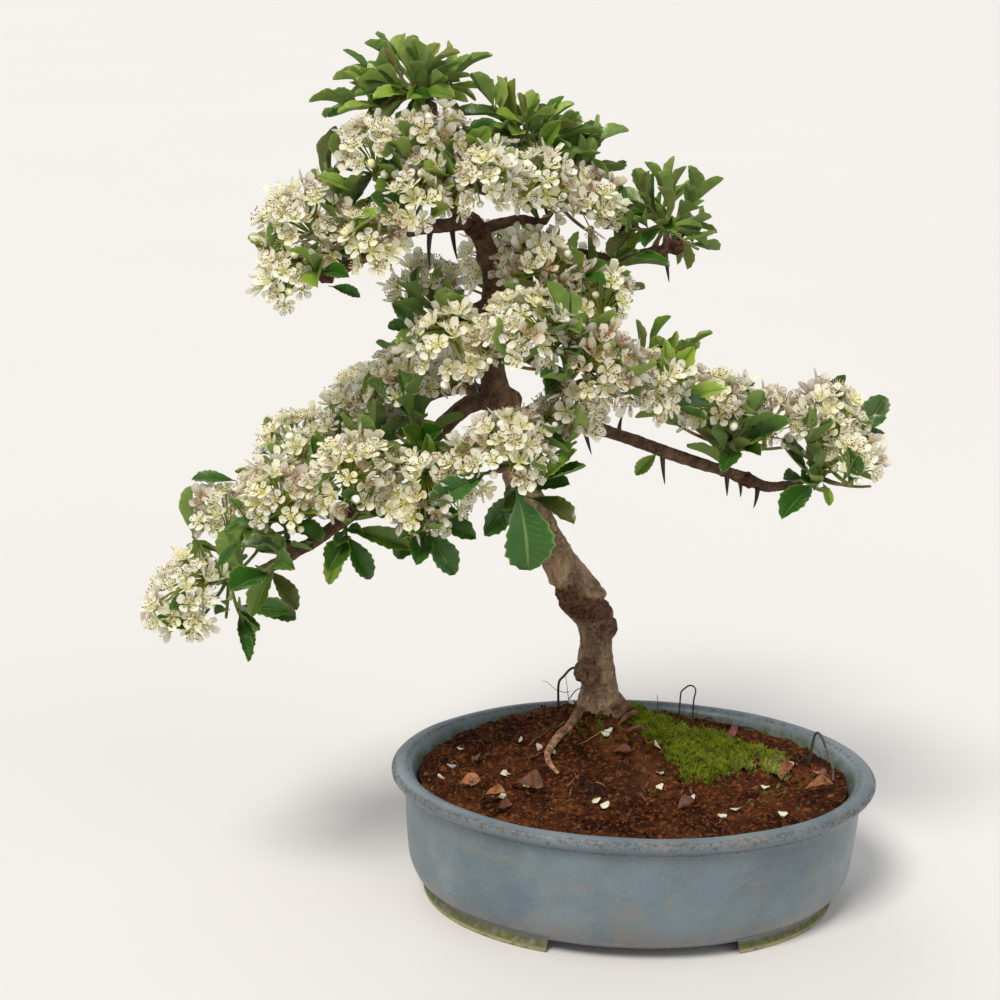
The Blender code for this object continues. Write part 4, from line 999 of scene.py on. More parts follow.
def moss_reach(turn):
    """How far the moss spreads from the trunk at a turn in degrees."""
    share = np.where((turn > MOSS_FAR_FROM) & (turn < MOSS_FAR_TO), 0.76, 0.56)
    x, y = np.cos(np.radians(turn)), np.sin(np.radians(turn)) / POT_DEPTH_RATIO
    trunk_y = TRUNK_Y / POT_DEPTH_RATIO
    a = x ** 2 + y ** 2
    b = 2 * (TRUNK_X * x + trunk_y * y)
    c = TRUNK_X ** 2 + trunk_y ** 2 - SOIL_HALF_LENGTH ** 2
    edge = (-b + np.sqrt(b * b - 4 * a * c)) / (2 * a)
    return TRUNK_HOLE + (edge - TRUNK_HOLE) * share


def on_soil(x, y):
    """Which places lie inside the pot."""
    return np.hypot(x, y / POT_DEPTH_RATIO) < SOIL_HALF_LENGTH * 0.985


def soil_places(draw, count, keep):
    """Random places on the soil that a test keeps."""
    found = []
    while sum(len(part) for part in found) < count:
        spots = draw.uniform(-1, 1, (count * 2, 2)) * SOIL_HALF_LENGTH * (1, POT_DEPTH_RATIO)
        spots = spots[on_soil(*spots.T)]
        found.append(spots[draw.random(len(spots)) < keep(*spots.T)])
    return np.concatenate(found)[:count]


def make_soil(settings):
    """The soil bed with loose crumbs strewn over it."""
    draw = np.random.default_rng(11)
    spots, faces = soil_body()
    rusty = smoothstep(lumps(spots, 0.011, 41), 0.25, 0.8) * 0.5
    dark = smoothstep(lumps(spots, 0.017, 42), 0.25, 0.8) * 0.75
    heap = Heap()
    heap.add(spots, faces, marks=np.stack([rusty * 0, rusty, dark, rusty * 0], -1))
    places = soil_places(draw, settings.crumbs, lambda x, y: 1 - 0.9 * in_moss(x, y))
    many = len(places)
    sizes = 0.00038 + 0.0009 * draw.random(many) ** 3
    spots = np.column_stack([places, soil_surface(*places.T) + sizes * 0.25])
    turns = frames_towards(draw.normal(size=(many, 3)), draw.uniform(0, 6.28, many))
    marks = np.column_stack([draw.random(many) ** 3, draw.random(many) ** 5 * 0.9, np.zeros(many)])
    forms = crumb_forms()
    heap.strew_mixed(forms, draw.integers(0, len(forms), many), turns, spots, sizes[:, None], marks)
    return heap.piece("soil_bed", [soil_finish(settings)], ["soil"], crease=55)


def moss_finish(settings):
    """Bright green moss, paler and yellower at its tips."""
    f = Finish("moss", 0.8, Specular_IOR_Level=0.10)
    f.colour(f.layers(f.mix(f.patches(0.35, 0.65, 160, 3), settings.moss, shade(settings.moss, 0.22)),
                      (f.mark(0), 1, settings.moss_pale), (f.mark(1), 0.75, (0.46, 0.46, 0.12))))
    f.relief(f.cloud(1800, 3, 0.7), 0.0004)
    return f.made


def moss_bed():
    """A lumpy cushion whose rim is sunk in the soil."""
    x, y = np.arange(-0.022, 0.070, MOSS_GRID), np.arange(-0.030, 0.062, MOSS_GRID)
    x, y = np.meshgrid(x, y, indexing="ij")
    index = np.arange(x.size).reshape(x.shape)
    shape = x.shape
    x, y = x.ravel(), y.ravel()
    deep, flat = in_moss(x, y), flat_places(x, y)
    tall = 0.0013 + 0.0011 * lumps(flat, 0.006, 33) + 0.0006 * lumps(flat, 0.0022, 34)
    z = soil_surface(x, y) - 0.0009 + deep * (tall + 0.0011)
    keep = ((deep > 0.02) & on_soil(x, y)).reshape(shape)
    cell = keep[:-1, :-1] & keep[1:, :-1] & keep[:-1, 1:] & keep[1:, 1:]
    a, b, c, d = index[:-1, :-1][cell], index[1:, :-1][cell], index[1:, 1:][cell], index[:-1, 1:][cell]
    faces = np.concatenate([np.stack([a, b, c], -1), np.stack([a, c, d], -1)])
    used, faces = np.unique(faces, return_inverse=True)
    return np.stack([x, y, z], -1)[used], faces.reshape(-1, 3)


def make_moss(settings):
    """A cushion of moss that is covered with fine leaning blades, in tufts."""
    draw = np.random.default_rng(12)
    heap = Heap()
    heap.add(*moss_bed(), marks=(0.1, 0, 0, 0))
    tufts = soil_places(draw, settings.moss_blades // BLADES,
                        lambda x, y: smoothstep(in_moss(x, y), 0.05, 0.5))
    stray = soil_places(draw, STRAY_TUFTS, lambda x, y: hill(x, y, 0.040, 0.005, 0.03, 0.03))
    foot = soil_places(draw, FOOT_TUFTS, lambda x, y: hill(x, y, -0.010, 0.016, 0.012, 0.006))
    tufts = np.concatenate([tufts, foot, stray])
    many = len(tufts)
    blades = many * BLADES
    loose = np.arange(many) >= many - STRAY_TUFTS - FOOT_TUFTS
    pale = hill(*tufts.T, 0.052, -0.002, 0.012, 0.016)
    height = (0.0013 + 0.0015 * draw.random(many) + 0.0008 * pale) * np.where(loose, 0.8, 1)
    base = np.repeat(tufts, BLADES, axis=0) + draw.normal(0, 0.00045, (blades, 2))
    tall = (np.repeat(height, BLADES) * draw.uniform(0.6, 1.1, blades))[:, None]
    foot = np.column_stack([base, soil_surface(*base.T) - 0.0004 + in_moss(*base.T) * 0.0016])
    lean = draw.normal(0, 0.42, (blades, 2))
    tip = foot + np.column_stack([lean, np.ones(blades)]) * tall
    middle = foot + (tip - foot) * 0.5 + np.column_stack([-lean * 0.25, np.full(blades, 0.12)]) * tall
    radii = np.outer(draw.uniform(0.00013, 0.00021, blades), (1.0, 0.8, 0.15))
    spots, faces = strands(bend(foot, middle, tip, 3), radii, 3)
    bright = np.repeat(0.25 + 0.85 * draw.random(many) ** 1.2, BLADES) * draw.uniform(0.7, 1.0, blades)
    bright = np.minimum(np.where(np.repeat(loose, BLADES), bright * 0.5, bright), 1)
    marks = np.zeros((blades, 3, 3, 4))
    marks[..., 0] = np.array([0.0, 0.50, 1.0])[None, :, None] * bright[:, None, None]
    marks[..., 1] = np.repeat(np.clip(pale + draw.normal(0, 0.12, many), 0, 1), BLADES)[:, None, None]
    heap.add(spots, faces, marks=marks.reshape(-1, 4))
    return heap.piece("moss_cushion", [moss_finish(settings)], ["moss"])


def hill(x, y, middle_x, middle_y, wide, deep):
    """A round hill from 0 to 1 over places."""
    return np.exp(-((x - middle_x) / wide) ** 2 - ((y - middle_y) / deep) ** 2)

# Wood

def wood_paths():
    """Every branch, spur and root as rows of place and radius, in metres."""
    paths = []
    for branch, route in routes().items():
        rows = [tuple(row) for row in smooth_route(route, 8)]
        for name, spray in SPRAYS.items():
            start, way, far = spur(name)
            end = (*(start + way * far), SPUR_RADIUS)
            if spray[:2] == (branch, len(route) - 1):
                rows.append(end)
            elif spray[0] == branch:
                middle = (*(start + way * far * 0.6), SPUR_FOOT_RADIUS * 1.05)
                paths.append(np.array([(*start, SPUR_FOOT_RADIUS * 1.5), middle, end]))
        paths.append(np.array(rows))
    for route in [SURFACE_ROOT] + BASE_ROOTS:
        rows = np.array([tuple(row * 0.001) for row in smooth_route(route, 6)])
        rows[:, 2] = soil_top(rows[:, 0], rows[:, 1]) + rows[:, 2] + rows[:, 3] * 0.75
        paths.append(rows)
    return paths


def run_along(rows):
    """How far along a path each of its rows lies."""
    return np.concatenate([[0], np.cumsum(np.linalg.norm(np.diff(rows[:, :3], axis=0), axis=1))])


def swollen(rows, seed):
    """A path's rows with the uneven thickness of grown wood."""
    rows = rows.copy()
    line = np.stack([run_along(rows), np.full(len(rows), seed * 0.1), np.zeros(len(rows))], -1)
    rows[:, 3] *= 1 + 0.07 * lumps(line, 0.007, 51) + 0.04 * lumps(line, 0.003, 52)
    return rows


def wood_samples(paths):
    """Close points along all wood, each with its direction, side, run and radius."""
    parts = []
    for k, rows in enumerate(paths):
        run = run_along(rows)
        steps = np.arange(0, run[-1], WOOD_STEP)
        fine = np.column_stack([np.interp(steps, run, rows[:, c]) for c in range(4)])
        way = unit(np.gradient(fine[:, :3], axis=0))
        whole = unit(fine[-1, :3] - fine[0, :3])
        side = unit(np.cross(way, unit(np.cross(whole, OFF_AXIS))))
        parts.append((fine[:, :3], way, side, steps + k * 0.37, fine[:, 3]))
    return [np.concatenate(part) for part in zip(*parts)]


def nearest(spots, samples, radii):
    """For each point, the sample whose surface it is nearest to."""
    found = np.zeros(len(spots), int)
    squares = (samples ** 2).sum(axis=1)
    for start in range(0, len(spots), 6000):
        part = spots[start:start + 6000]
        far = np.sqrt(np.maximum((part ** 2).sum(axis=1)[:, None] + squares - 2 * part @ samples.T, 0))
        found[start:start + 6000] = np.argmin(far - radii, axis=1)
    return found


def grown_shell():
    """The wood as one even skin of small faces, smoothed where branches meet."""
    shells = [strands([rows[:, :3]], [rows[:, 3]], 22, closed=True)
              for rows in (swollen(path, k) for k, path in enumerate(wood_paths()))]
    for *middle, radius in KNOTS + COLLARS:
        spots, faces = ball(12, 8)
        lumpy = 1 + 0.16 * lumps(spots * radius, 2.2, 53)
        shells.append((spots * lumpy[:, None] * radius * 0.001 + np.array(middle) * 0.001, faces))
    heap = Heap()
    for spots, faces in shells:
        heap.add(spots, outward(spots, faces))
    work = work_object("wood_work", np.concatenate(heap.spots), np.concatenate(heap.faces))
    remesh = work.modifiers.new("grow", "REMESH")
    remesh.mode = "VOXEL"
    remesh.voxel_size = WOOD_GRAIN
    mesh = evaluated_mesh(work)
    bpy.data.objects.remove(work)
    edges = np.zeros(len(mesh.edges) * 2, np.int32)
    mesh.edges.foreach_get("vertices", edges)
    edges = edges.reshape(-1, 2)
    spots, faces = mesh_arrays(mesh)
    for _ in range(4):
        spots = spots + 0.6 * (around(spots, edges) - spots)
    return spots, faces, edges


def around(values, edges):
    """For each point, the mean of its neighbours' values."""
    values = values.reshape(len(values), -1)
    count = np.bincount(edges.ravel(), minlength=len(values))
    one, two = edges.T
    total = [np.bincount(one, column[two], len(values)) + np.bincount(two, column[one], len(values))
             for column in values.T]
    return np.stack(total, -1) / np.maximum(count, 1)[:, None]


def point_normals(spots, faces):
    """Outward directions at the points of a skin."""
    a, b, c = (spots[faces[:, k]] for k in range(3))
    flat = np.cross(b - a, c - a)
    total = np.stack([sum(np.bincount(faces[:, k], flat[:, axis], len(spots)) for k in range(3))
                      for axis in range(3)], axis=-1)
    return unit(total)


def bark_field(spots):
    """For each point, its place across and along the wood, and the wood's radius there."""
    places, ways, sides, runs, radii = wood_samples(wood_paths())
    found = nearest(spots, places, radii)
    off = spots - places[found]
    way, side = ways[found], sides[found]
    frame_there = (side, np.cross(way, side), way)
    grain = np.column_stack([(off * axis).sum(axis=1) for axis in frame_there])
    grain[:, 2] += runs[found]
    return grain, radii[found]


def across_scar(spots):
    """How far points lie across the trunk's scar band, and from its middle."""
    off = spots - np.array(SCAR[0]) * 0.001
    return off @ unit(SCAR[1]), np.linalg.norm(off, axis=1)


def scar_share(spots):
    """How much a point lies on the trunk's rough scar band or on a knot."""
    off, near = across_scar(spots)
    ragged = 0.0012 * lumps(spots, 0.004, 61)
    share = smoothstep(np.abs(off + ragged), 0.0056, 0.0030) * smoothstep(near, 0.017, 0.013)
    for *middle, radius in KNOTS:
        far = np.linalg.norm(spots - np.array(middle) * 0.001, axis=1) + ragged
        share = np.maximum(share, 0.8 * smoothstep(far, radius * 0.00145, radius * 0.001))
    return share


def make_wood(settings):
    """Trunk, branches and roots with ridged bark, a scar band and knots, in one skin, with shade painted into
    its furrows and hollows.
    """
    spots, faces, edges = grown_shell()
    out = point_normals(spots, faces)
    grain, radius = bark_field(spots)
    thick = np.clip(radius / 0.008, 0, 1)
    scar = scar_share(spots)
    long_grain = grain * (1, 1, 0.30)
    ridges = 0.5 - np.abs(lumps(long_grain, 0.0019, 71))
    wide = lumps(grain * (1, 1, 0.6), 0.0065, 72)
    fine = lumps(long_grain, 0.0009, 73)
    rings = lumps(grain * (0.35, 0.35, 1.6), 0.0017, 74)
    plates = smoothstep(lumps(grain * (1, 1, 0.55), 0.0034, 75), 0.05, 0.30)
    rough = lumps(spots, 0.0016, 76) + 0.7 * lumps(spots, 0.0008, 77)
    rise = 0.00034 * wide * thick + (0.00022 * ridges + 0.00018 * (plates - 0.5)) * (0.35 + thick)
    rise += 0.00012 * fine + 0.00014 * rings * (0.5 + thick) + 0.00010 * rough
    rise = rise * (1 - 0.4 * scar) + scar * (0.00062 * rough + 0.0003 * ridges)
    rise += lip_of_scar(spots) + knot_rims(spots)
    spots = spots + out * rise[:, None]
    hollow = around(rise, edges)[:, 0] - rise
    # Painted shade: points that lie lower than their neighbours, in furrows, pits and the knots' hollows, get
    # a mark that darkens their colour
    painted_crevice_shade = np.clip(0.42 + hollow / 0.00020, 0, 1) * 0.8 + 0.2 * smoothstep(rough, -0.1, -0.9)
    height = spots[:, 2]
    old = smoothstep(radius, 0.0030, 0.0052) * (0.35 + 0.65 * smoothstep(height, 0.205, 0.150))
    root = smoothstep(height, 0.062, 0.054) * smoothstep(radius, 0.0062, 0.0045)
    heap = Heap()
    heap.add(spots, outward(spots, faces), marks=np.stack([old, scar, painted_crevice_shade, root], -1))
    return heap.piece("bark_wood", [bark_finish(settings)], ["wood"])


def lip_of_scar(spots):
    """The raised upper edge of the scar band, where bark has rolled over it."""
    off, near = across_scar(spots)
    off = off + 0.0008 * lumps(spots, 0.005, 62)
    lip = np.exp(-((off - 0.0056) / 0.0011) ** 2) - 0.8 * np.exp(-((off - 0.0036) / 0.0011) ** 2)
    return smoothstep(near, 0.017, 0.012) * 0.00075 * lip


def knot_rims(spots):
    """The rolled rims of the trunk's knots, round their hollows, which painted shade makes dark."""
    rise = np.zeros(len(spots))
    for x, y, z, radius in KNOTS[:TRUNK_KNOTS]:
        front = np.array([x, y - radius * 1.3, z]) * 0.001
        middle = spots[np.argsort(np.linalg.norm(spots - front, axis=1))[:40]].mean(axis=0)
        far = np.linalg.norm(spots - middle, axis=1) + 0.0005 * lumps(spots, 0.003, 63)
        rise += 0.00085 * np.exp(-((far - 0.0032) / 0.0009) ** 2) - 0.0010 * np.exp(-(far / 0.0017) ** 2)
    return rise


def bark_finish(settings):
    """Grey-tan bark on the trunk, dark red-brown on young wood, raw rust-red at scars and knots, and painted
    shade in its furrows and hollows.
    """
    f = Finish("bark", 0.72, Specular_IOR_Level=0.14)
    tan, young, raw = settings.bark, settings.bark_young, settings.bark_scar
    upright = f.node("Mapping", {"Vector": f.place, "Scale": (1, 1, 0.22)}).outputs["Vector"]
    streak = f.cloud(240, 5, 0.6, upright)
    old = f.layers(f.mix(f.patches(0.35, 0.65, 110, 5, 0.6), tan, shade(tan, 0.50)),
                   (f.patches(0.52, 0.72, 260, 4, 0.6), 1, (0.50, 0.38, 0.25)),
                   (f.patches(0.50, 0.66, 75, 3), 0.55, (0.24, 0.15, 0.09)),
                   (f.step(streak, 0.50, 0.62), 0.60, (0.125, 0.078, 0.045)),
                   (f.step(streak, 0.44, 0.34), 0.50, (0.47, 0.36, 0.22)),
                   (f.patches(0.50, 0.66, 1000, 4, 0.7), 0.45, shade(tan, 0.30)),
                   (f.patches(0.56, 0.70, 620, 4, 0.65), 0.45, (0.56, 0.45, 0.32)))
    new = f.layers(f.mix(f.patches(0.40, 0.66, 330, 5, 0.65), young, shade(young, 2.3)),
                   (f.step(f.cells(420), 0.30, 0.16), 0.5, (0.19, 0.12, 0.085)))
    aged = f.step(f.swayed(f.mark(0), 0.9, 90, 3), 0.30, 0.70)
    rust = f.mix(f.patches(0.42, 0.60, 480, 5, 0.7), raw, (0.030, 0.012, 0.008))
    root = f.mix(f.patches(0.40, 0.62, 420, 4), (0.48, 0.27, 0.16), (0.20, 0.09, 0.05))
    # The third mark paints shade, in a near-black brown, into the bark's furrows, pits and hollows
    f.colour(f.layers(f.mix(aged, new, old), (f.mark(1), 0.85, rust), (f.mark(3), 1, root),
                      (f.step(f.mark(2), 0.44, 0.86), 0.70, (0.030, 0.017, 0.010))))
    f.roughness(f.cloud(380, 3), 0.52, 0.95)
    f.relief(f.math("ADD", f.cloud(1300, 5, 0.7), f.times(f.cloud(420, 4, 0.6), 1.6)), 0.00065)
    return f.made


def make_thorns():
    """Slender curved thorns with glossy dark points, set on their small swollen feet."""
    draw = np.random.default_rng(14)
    feet, points = np.array(THORNS).transpose(1, 0, 2) * 0.001
    aside = np.cross(unit(points - feet), unit(draw.normal(size=feet.shape))) * 0.0011
    share = np.linspace(0, 1, THORN_STEPS)
    radii = np.broadcast_to(0.00105 * (1 - share) ** 0.72 + 0.00005, (len(feet), THORN_STEPS))
    paths = bend(feet, (feet + points) / 2 + aside, points, THORN_STEPS)
    spots, faces = strands(paths, radii, THORN_SIDES, closed=True)
    marks = blank_marks(len(spots), np.tile([*np.repeat(share, THORN_SIDES), 0, 1], len(feet)))
    heap = Heap()
    heap.add(spots, faces, marks=marks)
    f = Finish("thorn", 0.30, Specular_IOR_Level=0.5)
    dark = f.mix(f.cloud(500, 3), (0.030, 0.014, 0.010), (0.060, 0.026, 0.018))
    f.colour(f.mix(f.step(f.mark(0), 0.25, 0.75), dark, (0.012, 0.008, 0.008)))
    f.relief(f.cloud(1500, 3), 0.0001)
    return heap.piece("thorns", [f.made], ["wood"])

# Leaves

def leaf_form(wide, arch, twist, seed, stations, pointed=False):
    """A toothed leaf one unit long along X with its upper side to Z, and its flat sheet for the veins."""
    share = np.linspace(0, 1, stations)
    outline = np.interp(share, *LEAF_OUTLINE) * wide
    if pointed:
        outline = (np.sin(math.pi * share ** 0.9) ** 1.1 + 0.05) * wide
    teeth = np.where(np.arange(stations) % 2 == 1, 1.055, 0.93)
    teeth = np.where(share < 0.34, 1.0, teeth)
    x = LEAF_ROOT + (1 - LEAF_ROOT) * share
    rise = arch * np.sin(math.pi * share * 0.8) + 0.08 * share ** 3
    ripple = 0.020 * np.sin(share * 17 + seed * 1.7) * smoothstep(share, 0.2, 0.6)
    swing = 0.035 * np.sin(share * 2.2 + seed)
    rows, sheet = [], []
    for across in (-1.0, -0.5, 0.0, 0.5, 1.0):
        half = outline * (teeth if abs(across) == 1 else 1.0)
        fold = (abs(across) - 0.15) * 0.62 * outline + ripple * abs(across) * (1 if across > 0 else -0.8)
        step_on = 0.016 * (teeth > 1) * (abs(across) == 1)
        roll = twist * share * across * outline * 2
        puff = -0.010 * (across == 0) + 0.012 * (abs(across) == 0.5)
        z = rise + fold + roll + puff * smoothstep(outline, 0.01, 0.08)
        rows.append(np.stack([x + step_on, across * half + swing - swing[0], z], axis=-1))
        sheet.append(np.stack([share, np.full(stations, across * 0.5 + 0.5)], axis=-1))
    rows.append(rows[2] - [0, 0, 0.026])
    sheet.append(sheet[2])
    spots = np.stack(rows, axis=1).reshape(-1, 3)
    end = (stations - 1) * 6 + np.arange(4)
    tip = np.stack([end, end + 1, np.full(4, end[0] + 5)], axis=-1)
    faces = outward(spots, np.concatenate([tube_faces(stations, 6), tip]))
    kinds = np.array([0, 0, 0, 0, 1, 1] * (stations - 1) * 2 + [0] * 4)
    return spots, faces, kinds, blank_marks(len(spots)), np.stack(sheet, axis=1).reshape(-1, 2)


def leaf_forms(young):
    """Leaf shapes to draw from."""
    stations = YOUNG_STATIONS if young else LEAF_STATIONS
    return [leaf_form(*shape, k, stations) for k, shape in enumerate(LEAF_SHAPES)]


def grown_leaves():
    """The placings of the leaves that the CAD part has, found by the tips that its meshes keep."""
    found = []
    for name in SPRAYS:
        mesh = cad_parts["leaves_" + name].data
        tree = KDTree(len(mesh.vertices))
        for vertex in mesh.vertices:
            tree.insert(vertex.co, vertex.index)
        tree.balance()
        for stem, (points, count) in enumerate(spray_stems(name)):
            for k in range(count):
                for spot, aim, face, length in leaf_tries(name, stem, points, count, k):
                    tip = placing(spot, aim, face, length) @ Vector((1, 0, 0.08)) + Vector(SHIFT)
                    if tree.find(tip)[2] < 0.0003:
                        found.append((name, spot, aim, face, length))
                        break
    return found


def whorl(name, draw, spot, way, count, lengths, lean_from, lean_to):
    """Placings for leaves of a spray that spring from about one place on a shoot."""
    start = draw.uniform(0, 6)
    side = level_side(way)
    other = way.cross(side)
    for k in range(count):
        turn = start + GOLDEN * k + draw.uniform(-0.35, 0.35)
        lean = draw.uniform(lean_from, lean_to)
        spread = side * math.cos(turn) + other * math.sin(turn)
        aim = (way * math.cos(lean) + spread * math.sin(lean) + UPWARD * 0.10).normalized()
        face = way * 0.7 + UPWARD * 0.8
        if abs(face.normalized().dot(aim)) > 0.97:
            face = face + spread * 0.5
        yield name, spot - way * (k * 0.0009), aim, squared(face, aim), draw.uniform(*lengths)


def shoots(name):
    """Slim leafy shoots, besides the CAD part's stems, as points from the spray's hub."""
    draw = random.Random("shoots " + name)
    middle = hub(name)
    made = []
    ends = [mm(*tip) for tip in SPRAYS[name][3]]
    for _ in range(MORE_SHOOTS.get(name, 0)):
        one, two = draw.sample(ends, 2)
        jitter = Vector((draw.uniform(-5, 5), draw.uniform(-7, 7), draw.uniform(-8, 1))) * 0.001
        made.append(one.lerp(two, draw.random()).lerp(middle, draw.uniform(0.12, 0.55)) + jitter)
    for head in head_list(name):
        centre, size, axis = Vector(head[0]), head[1], Vector(head[3])
        side = axis.cross(Vector((0.3, 0.5, 0.8))).normalized()
        for turn in (draw.uniform(0, 2), draw.uniform(2, 4), draw.uniform(4, 6)):
            spread = side * math.cos(turn) + axis.cross(side) * math.sin(turn)
            made.append(centre + spread * size * 0.92 - axis * size * draw.uniform(0.10, 0.50))
    return [[middle, sagging(middle, end, SHOOT_SAG), end] for end in made]


def extra_leaves():
    """Placings to try for the smaller leaves that fill the sprays."""
    for name in SPRAYS:
        draw = random.Random("more " + name)
        young = name in YOUNG_SPRAYS
        lengths = (0.0115, 0.0175) if young else (0.0125, 0.0205)
        for points in shoots(name):
            for share, grown_many, young_many in SHOOT_LEAVES:
                many = young_many if young else grown_many
                yield from whorl(name, draw, *along(points, share), many, lengths, 0.25, 1.15)
        for stem, (points, count) in enumerate(spray_stems(name)):
            if stem == 0:
                way = (points[-1] - points[0]).normalized()
                yield from whorl(name, draw, points[-1], way, 12, lengths, 0.3, 1.9)
            elif count <= HEAD_LEAVES:
                for share, many in ((0.95, 5), (0.70, 2), (0.45, 1)):
                    yield from whorl(name, draw, *along(points, share), many, lengths, 0.95, 1.65)
            else:
                short = (lengths[0] * 0.62, lengths[1] * 0.9)
                yield from whorl(name, draw, *along(points, 0.98), 5 if young else 4, short, 0.2, 0.95)
                for share in (0.30, 0.50, 0.68, 0.82)[not young:]:
                    yield from whorl(name, draw, *along(points, share), 1 + (share > 0.6), lengths, 0.7, 1.3)
        for head in head_list(name):
            yield from whorl(name, draw, Vector(head[4]), Vector(head[3]), 3, lengths, 1.2, 1.9)


def even_ways(count):
    """Directions spread evenly all round."""
    k = np.arange(count)
    rise = 1 - (k + 0.5) * 2 / count
    flat = np.sin(np.arccos(rise))
    return unit(np.stack([np.cos(2.4 * k) * flat, np.sin(2.4 * k) * flat, rise], axis=-1))


WAYS = even_ways(130)


def leaf_room(leaf):
    """A few points over a leaf, to keep others off it."""
    _, spot, aim, face, length = leaf
    side = face.cross(aim)
    return np.array([spot + aim * length * x + side * length * y + face * length * 0.14 * math.sin(2.5 * x)
                     for x, y in ((0.5, 0), (0.78, 0), (0.98, 0), (0.65, 0.12), (0.65, -0.12))])


def reach(name, leaves):
    """How far a spray of the CAD part spreads in each of many ways."""
    rooms = [leaf_room(leaf) @ WAYS.T for leaf in leaves if leaf[0] == name]
    domes = [[head[0] @ WAYS.T + head[1] * 0.95] for head in head_list(name)]
    return np.concatenate(rooms + domes).max(axis=0)


def clear_leaves(placed, tries, wood, heads):
    """Adds the tries that stay off other leaves, the wood and the flowers."""
    rooms = [leaf_room(leaf) for leaf in placed]
    spread = {name: reach(name, placed) for name in SPRAYS} if heads else {}
    for leaf in tries:
        room = leaf_room(leaf)
        young = leaf[0] in YOUNG_SPRAYS
        if heads and (room @ WAYS.T > spread[leaf[0]] + (0.0012 if young else 0.0045)).any():
            continue
        if heads and not young and leaf[2].z < -0.35:
            continue
        if (room < LOW + 0.0015).any() or (room > HIGH - 0.0015).any():
            continue
        known = np.array(rooms)
        near = known[np.linalg.norm(known[:, 0] - room[0], axis=1) < 0.025].reshape(-1, 3)
        if len(near) and np.linalg.norm(near[:, None] - room[None], axis=2).min() < 0.0022:
            continue
        if (np.linalg.norm(wood[0][None] - room[1:, None], axis=2) - wood[4]).min() < 0.0012:
            continue
        if any((np.linalg.norm(room - centre, axis=1) < size * 0.76).any() for centre, size in heads):
            continue
        rooms.append(room)
        placed.append(leaf)
    return placed


def leaf_finish(settings, name, under):
    """A glossy leaf top with pale veins, or its dull pale underside."""
    f = Finish(name, 0.62 if under else 0.36, Specular_IOR_Level=0.15 if under else 0.42,
               Subsurface_Weight=0.20, Subsurface_Scale=0.0012, Subsurface_Radius=(0.7, 1.0, 0.1))
    run, across = f.off_rib()
    base = f.mix(f.step(f.swayed(f.mark(1), 0.35, 140, 3), 0.1, 0.9), settings.leaf, settings.leaf_young)
    base = f.layers(base, (f.mark(2), 0.85, (0.16, 0.045, 0.025)))
    if under:
        base = f.mix(0.55, base, (0.24, 0.32, 0.10))
    slant = f.times(f.math("SUBTRACT", run, f.times(across, 0.12)), 13.0)
    wave = f.math("ABSOLUTE", f.math("SUBTRACT", f.math("FRACT", slant), 0.5))
    vein = f.times(f.step(wave, 0.10, 0.0), f.step(across, 0.95, 0.5))
    lines = f.math("MAXIMUM", f.step(across, 0.10, 0.02), f.times(vein, 0.30))
    f.colour(f.layers(base, (lines, 0.30 if under else 0.38, (0.30, 0.40, 0.10)),
                      (f.step(across, 0.88, 1.0), 0.35, (0.26, 0.32, 0.10)),
                      (f.patches(0.66, 0.78, 900, 3, 0.7), 0.25, (0.20, 0.17, 0.06))))
    f.roughness(f.cloud(300, 3), 0.5 if under else 0.20, 0.8 if under else 0.42)
    f.relief(f.math("SUBTRACT", f.cloud(700, 2), lines), 0.00014)
    return f.made


def stem_finish():
    """Downy green stems that redden in the light."""
    f = Finish("green_stem", 0.55, Specular_IOR_Level=0.35)
    f.colour(f.layers((0.17, 0.22, 0.055), (f.patches(0.42, 0.62, 120, 3), 1, (0.20, 0.11, 0.045)),
                      (f.mark(1), 0.8, (0.07, 0.032, 0.020))))
    f.relief(f.cloud(1600, 3), 0.0001)
    return f.made


def make_leaves(settings):
    """A spray of toothed leaves and stems for each of the CAD part's leafy nodes."""
    draw = np.random.default_rng(15)
    wood = [part[::3] for part in wood_samples(wood_paths())]
    heads = [head[:2] for name in SPRAYS for head in head_list(name)]
    seen = list(seen_leaves())
    special = {(tuple(leaf[1]), tuple(leaf[2])): row[3:] for leaf, row in zip(seen, SEEN_LEAVES)}
    placed = clear_leaves(seen[:1], seen[1:] + grown_leaves(), wood, [])
    placed = clear_leaves(placed, extra_leaves(), wood, heads)
    forms = {young: leaf_forms(young) for young in (False, True)}
    finishes = [leaf_finish(settings, "leaf_upper", False), leaf_finish(settings, "leaf_under", True),
                stem_finish()]
    for name in SPRAYS:
        young = name in YOUNG_SPRAYS
        heap = Heap()
        turns, places, sizes, marks, pick = [], [], [], [], []
        for _, spot, aim, face, length in (leaf for leaf in placed if leaf[0] == name):
            x = np.array(aim)
            y = unit(np.cross(np.array(face), x))
            turns.append(np.stack([x, y, np.cross(x, y)], axis=-1))
            places.append(np.array(spot))
            broad = draw.uniform(0.85, 1.08)
            small = length < 0.0125
            fresh = draw.random() ** 1.1 * 0.95 if young else draw.random() ** 1.6 * 0.75 + 0.25 * small
            red = draw.random() ** 9 * (0.8 if young else 0.5)
            if (tuple(spot), tuple(aim)) in special:
                broad, fresh, red = special[tuple(spot), tuple(aim)]
                broad = broad / SEEN_HALF_WIDTH
            sizes.append((length, length * broad, length))
            marks.append((fresh, red, draw.random()))
            pick.append(draw.integers(0, len(LEAF_SHAPES)))
        heap.strew_mixed(forms[young], *(np.array(rows) for rows in (pick, turns, places, sizes, marks)))
        for k, (points, count) in enumerate(spray_stems(name) + [(points, 9) for points in shoots(name)]):
            add_stem(heap, points, k == 0, count <= HEAD_LEAVES)
        heap.piece("foliage_" + name, finishes, ["leaves_" + name], crease=70)


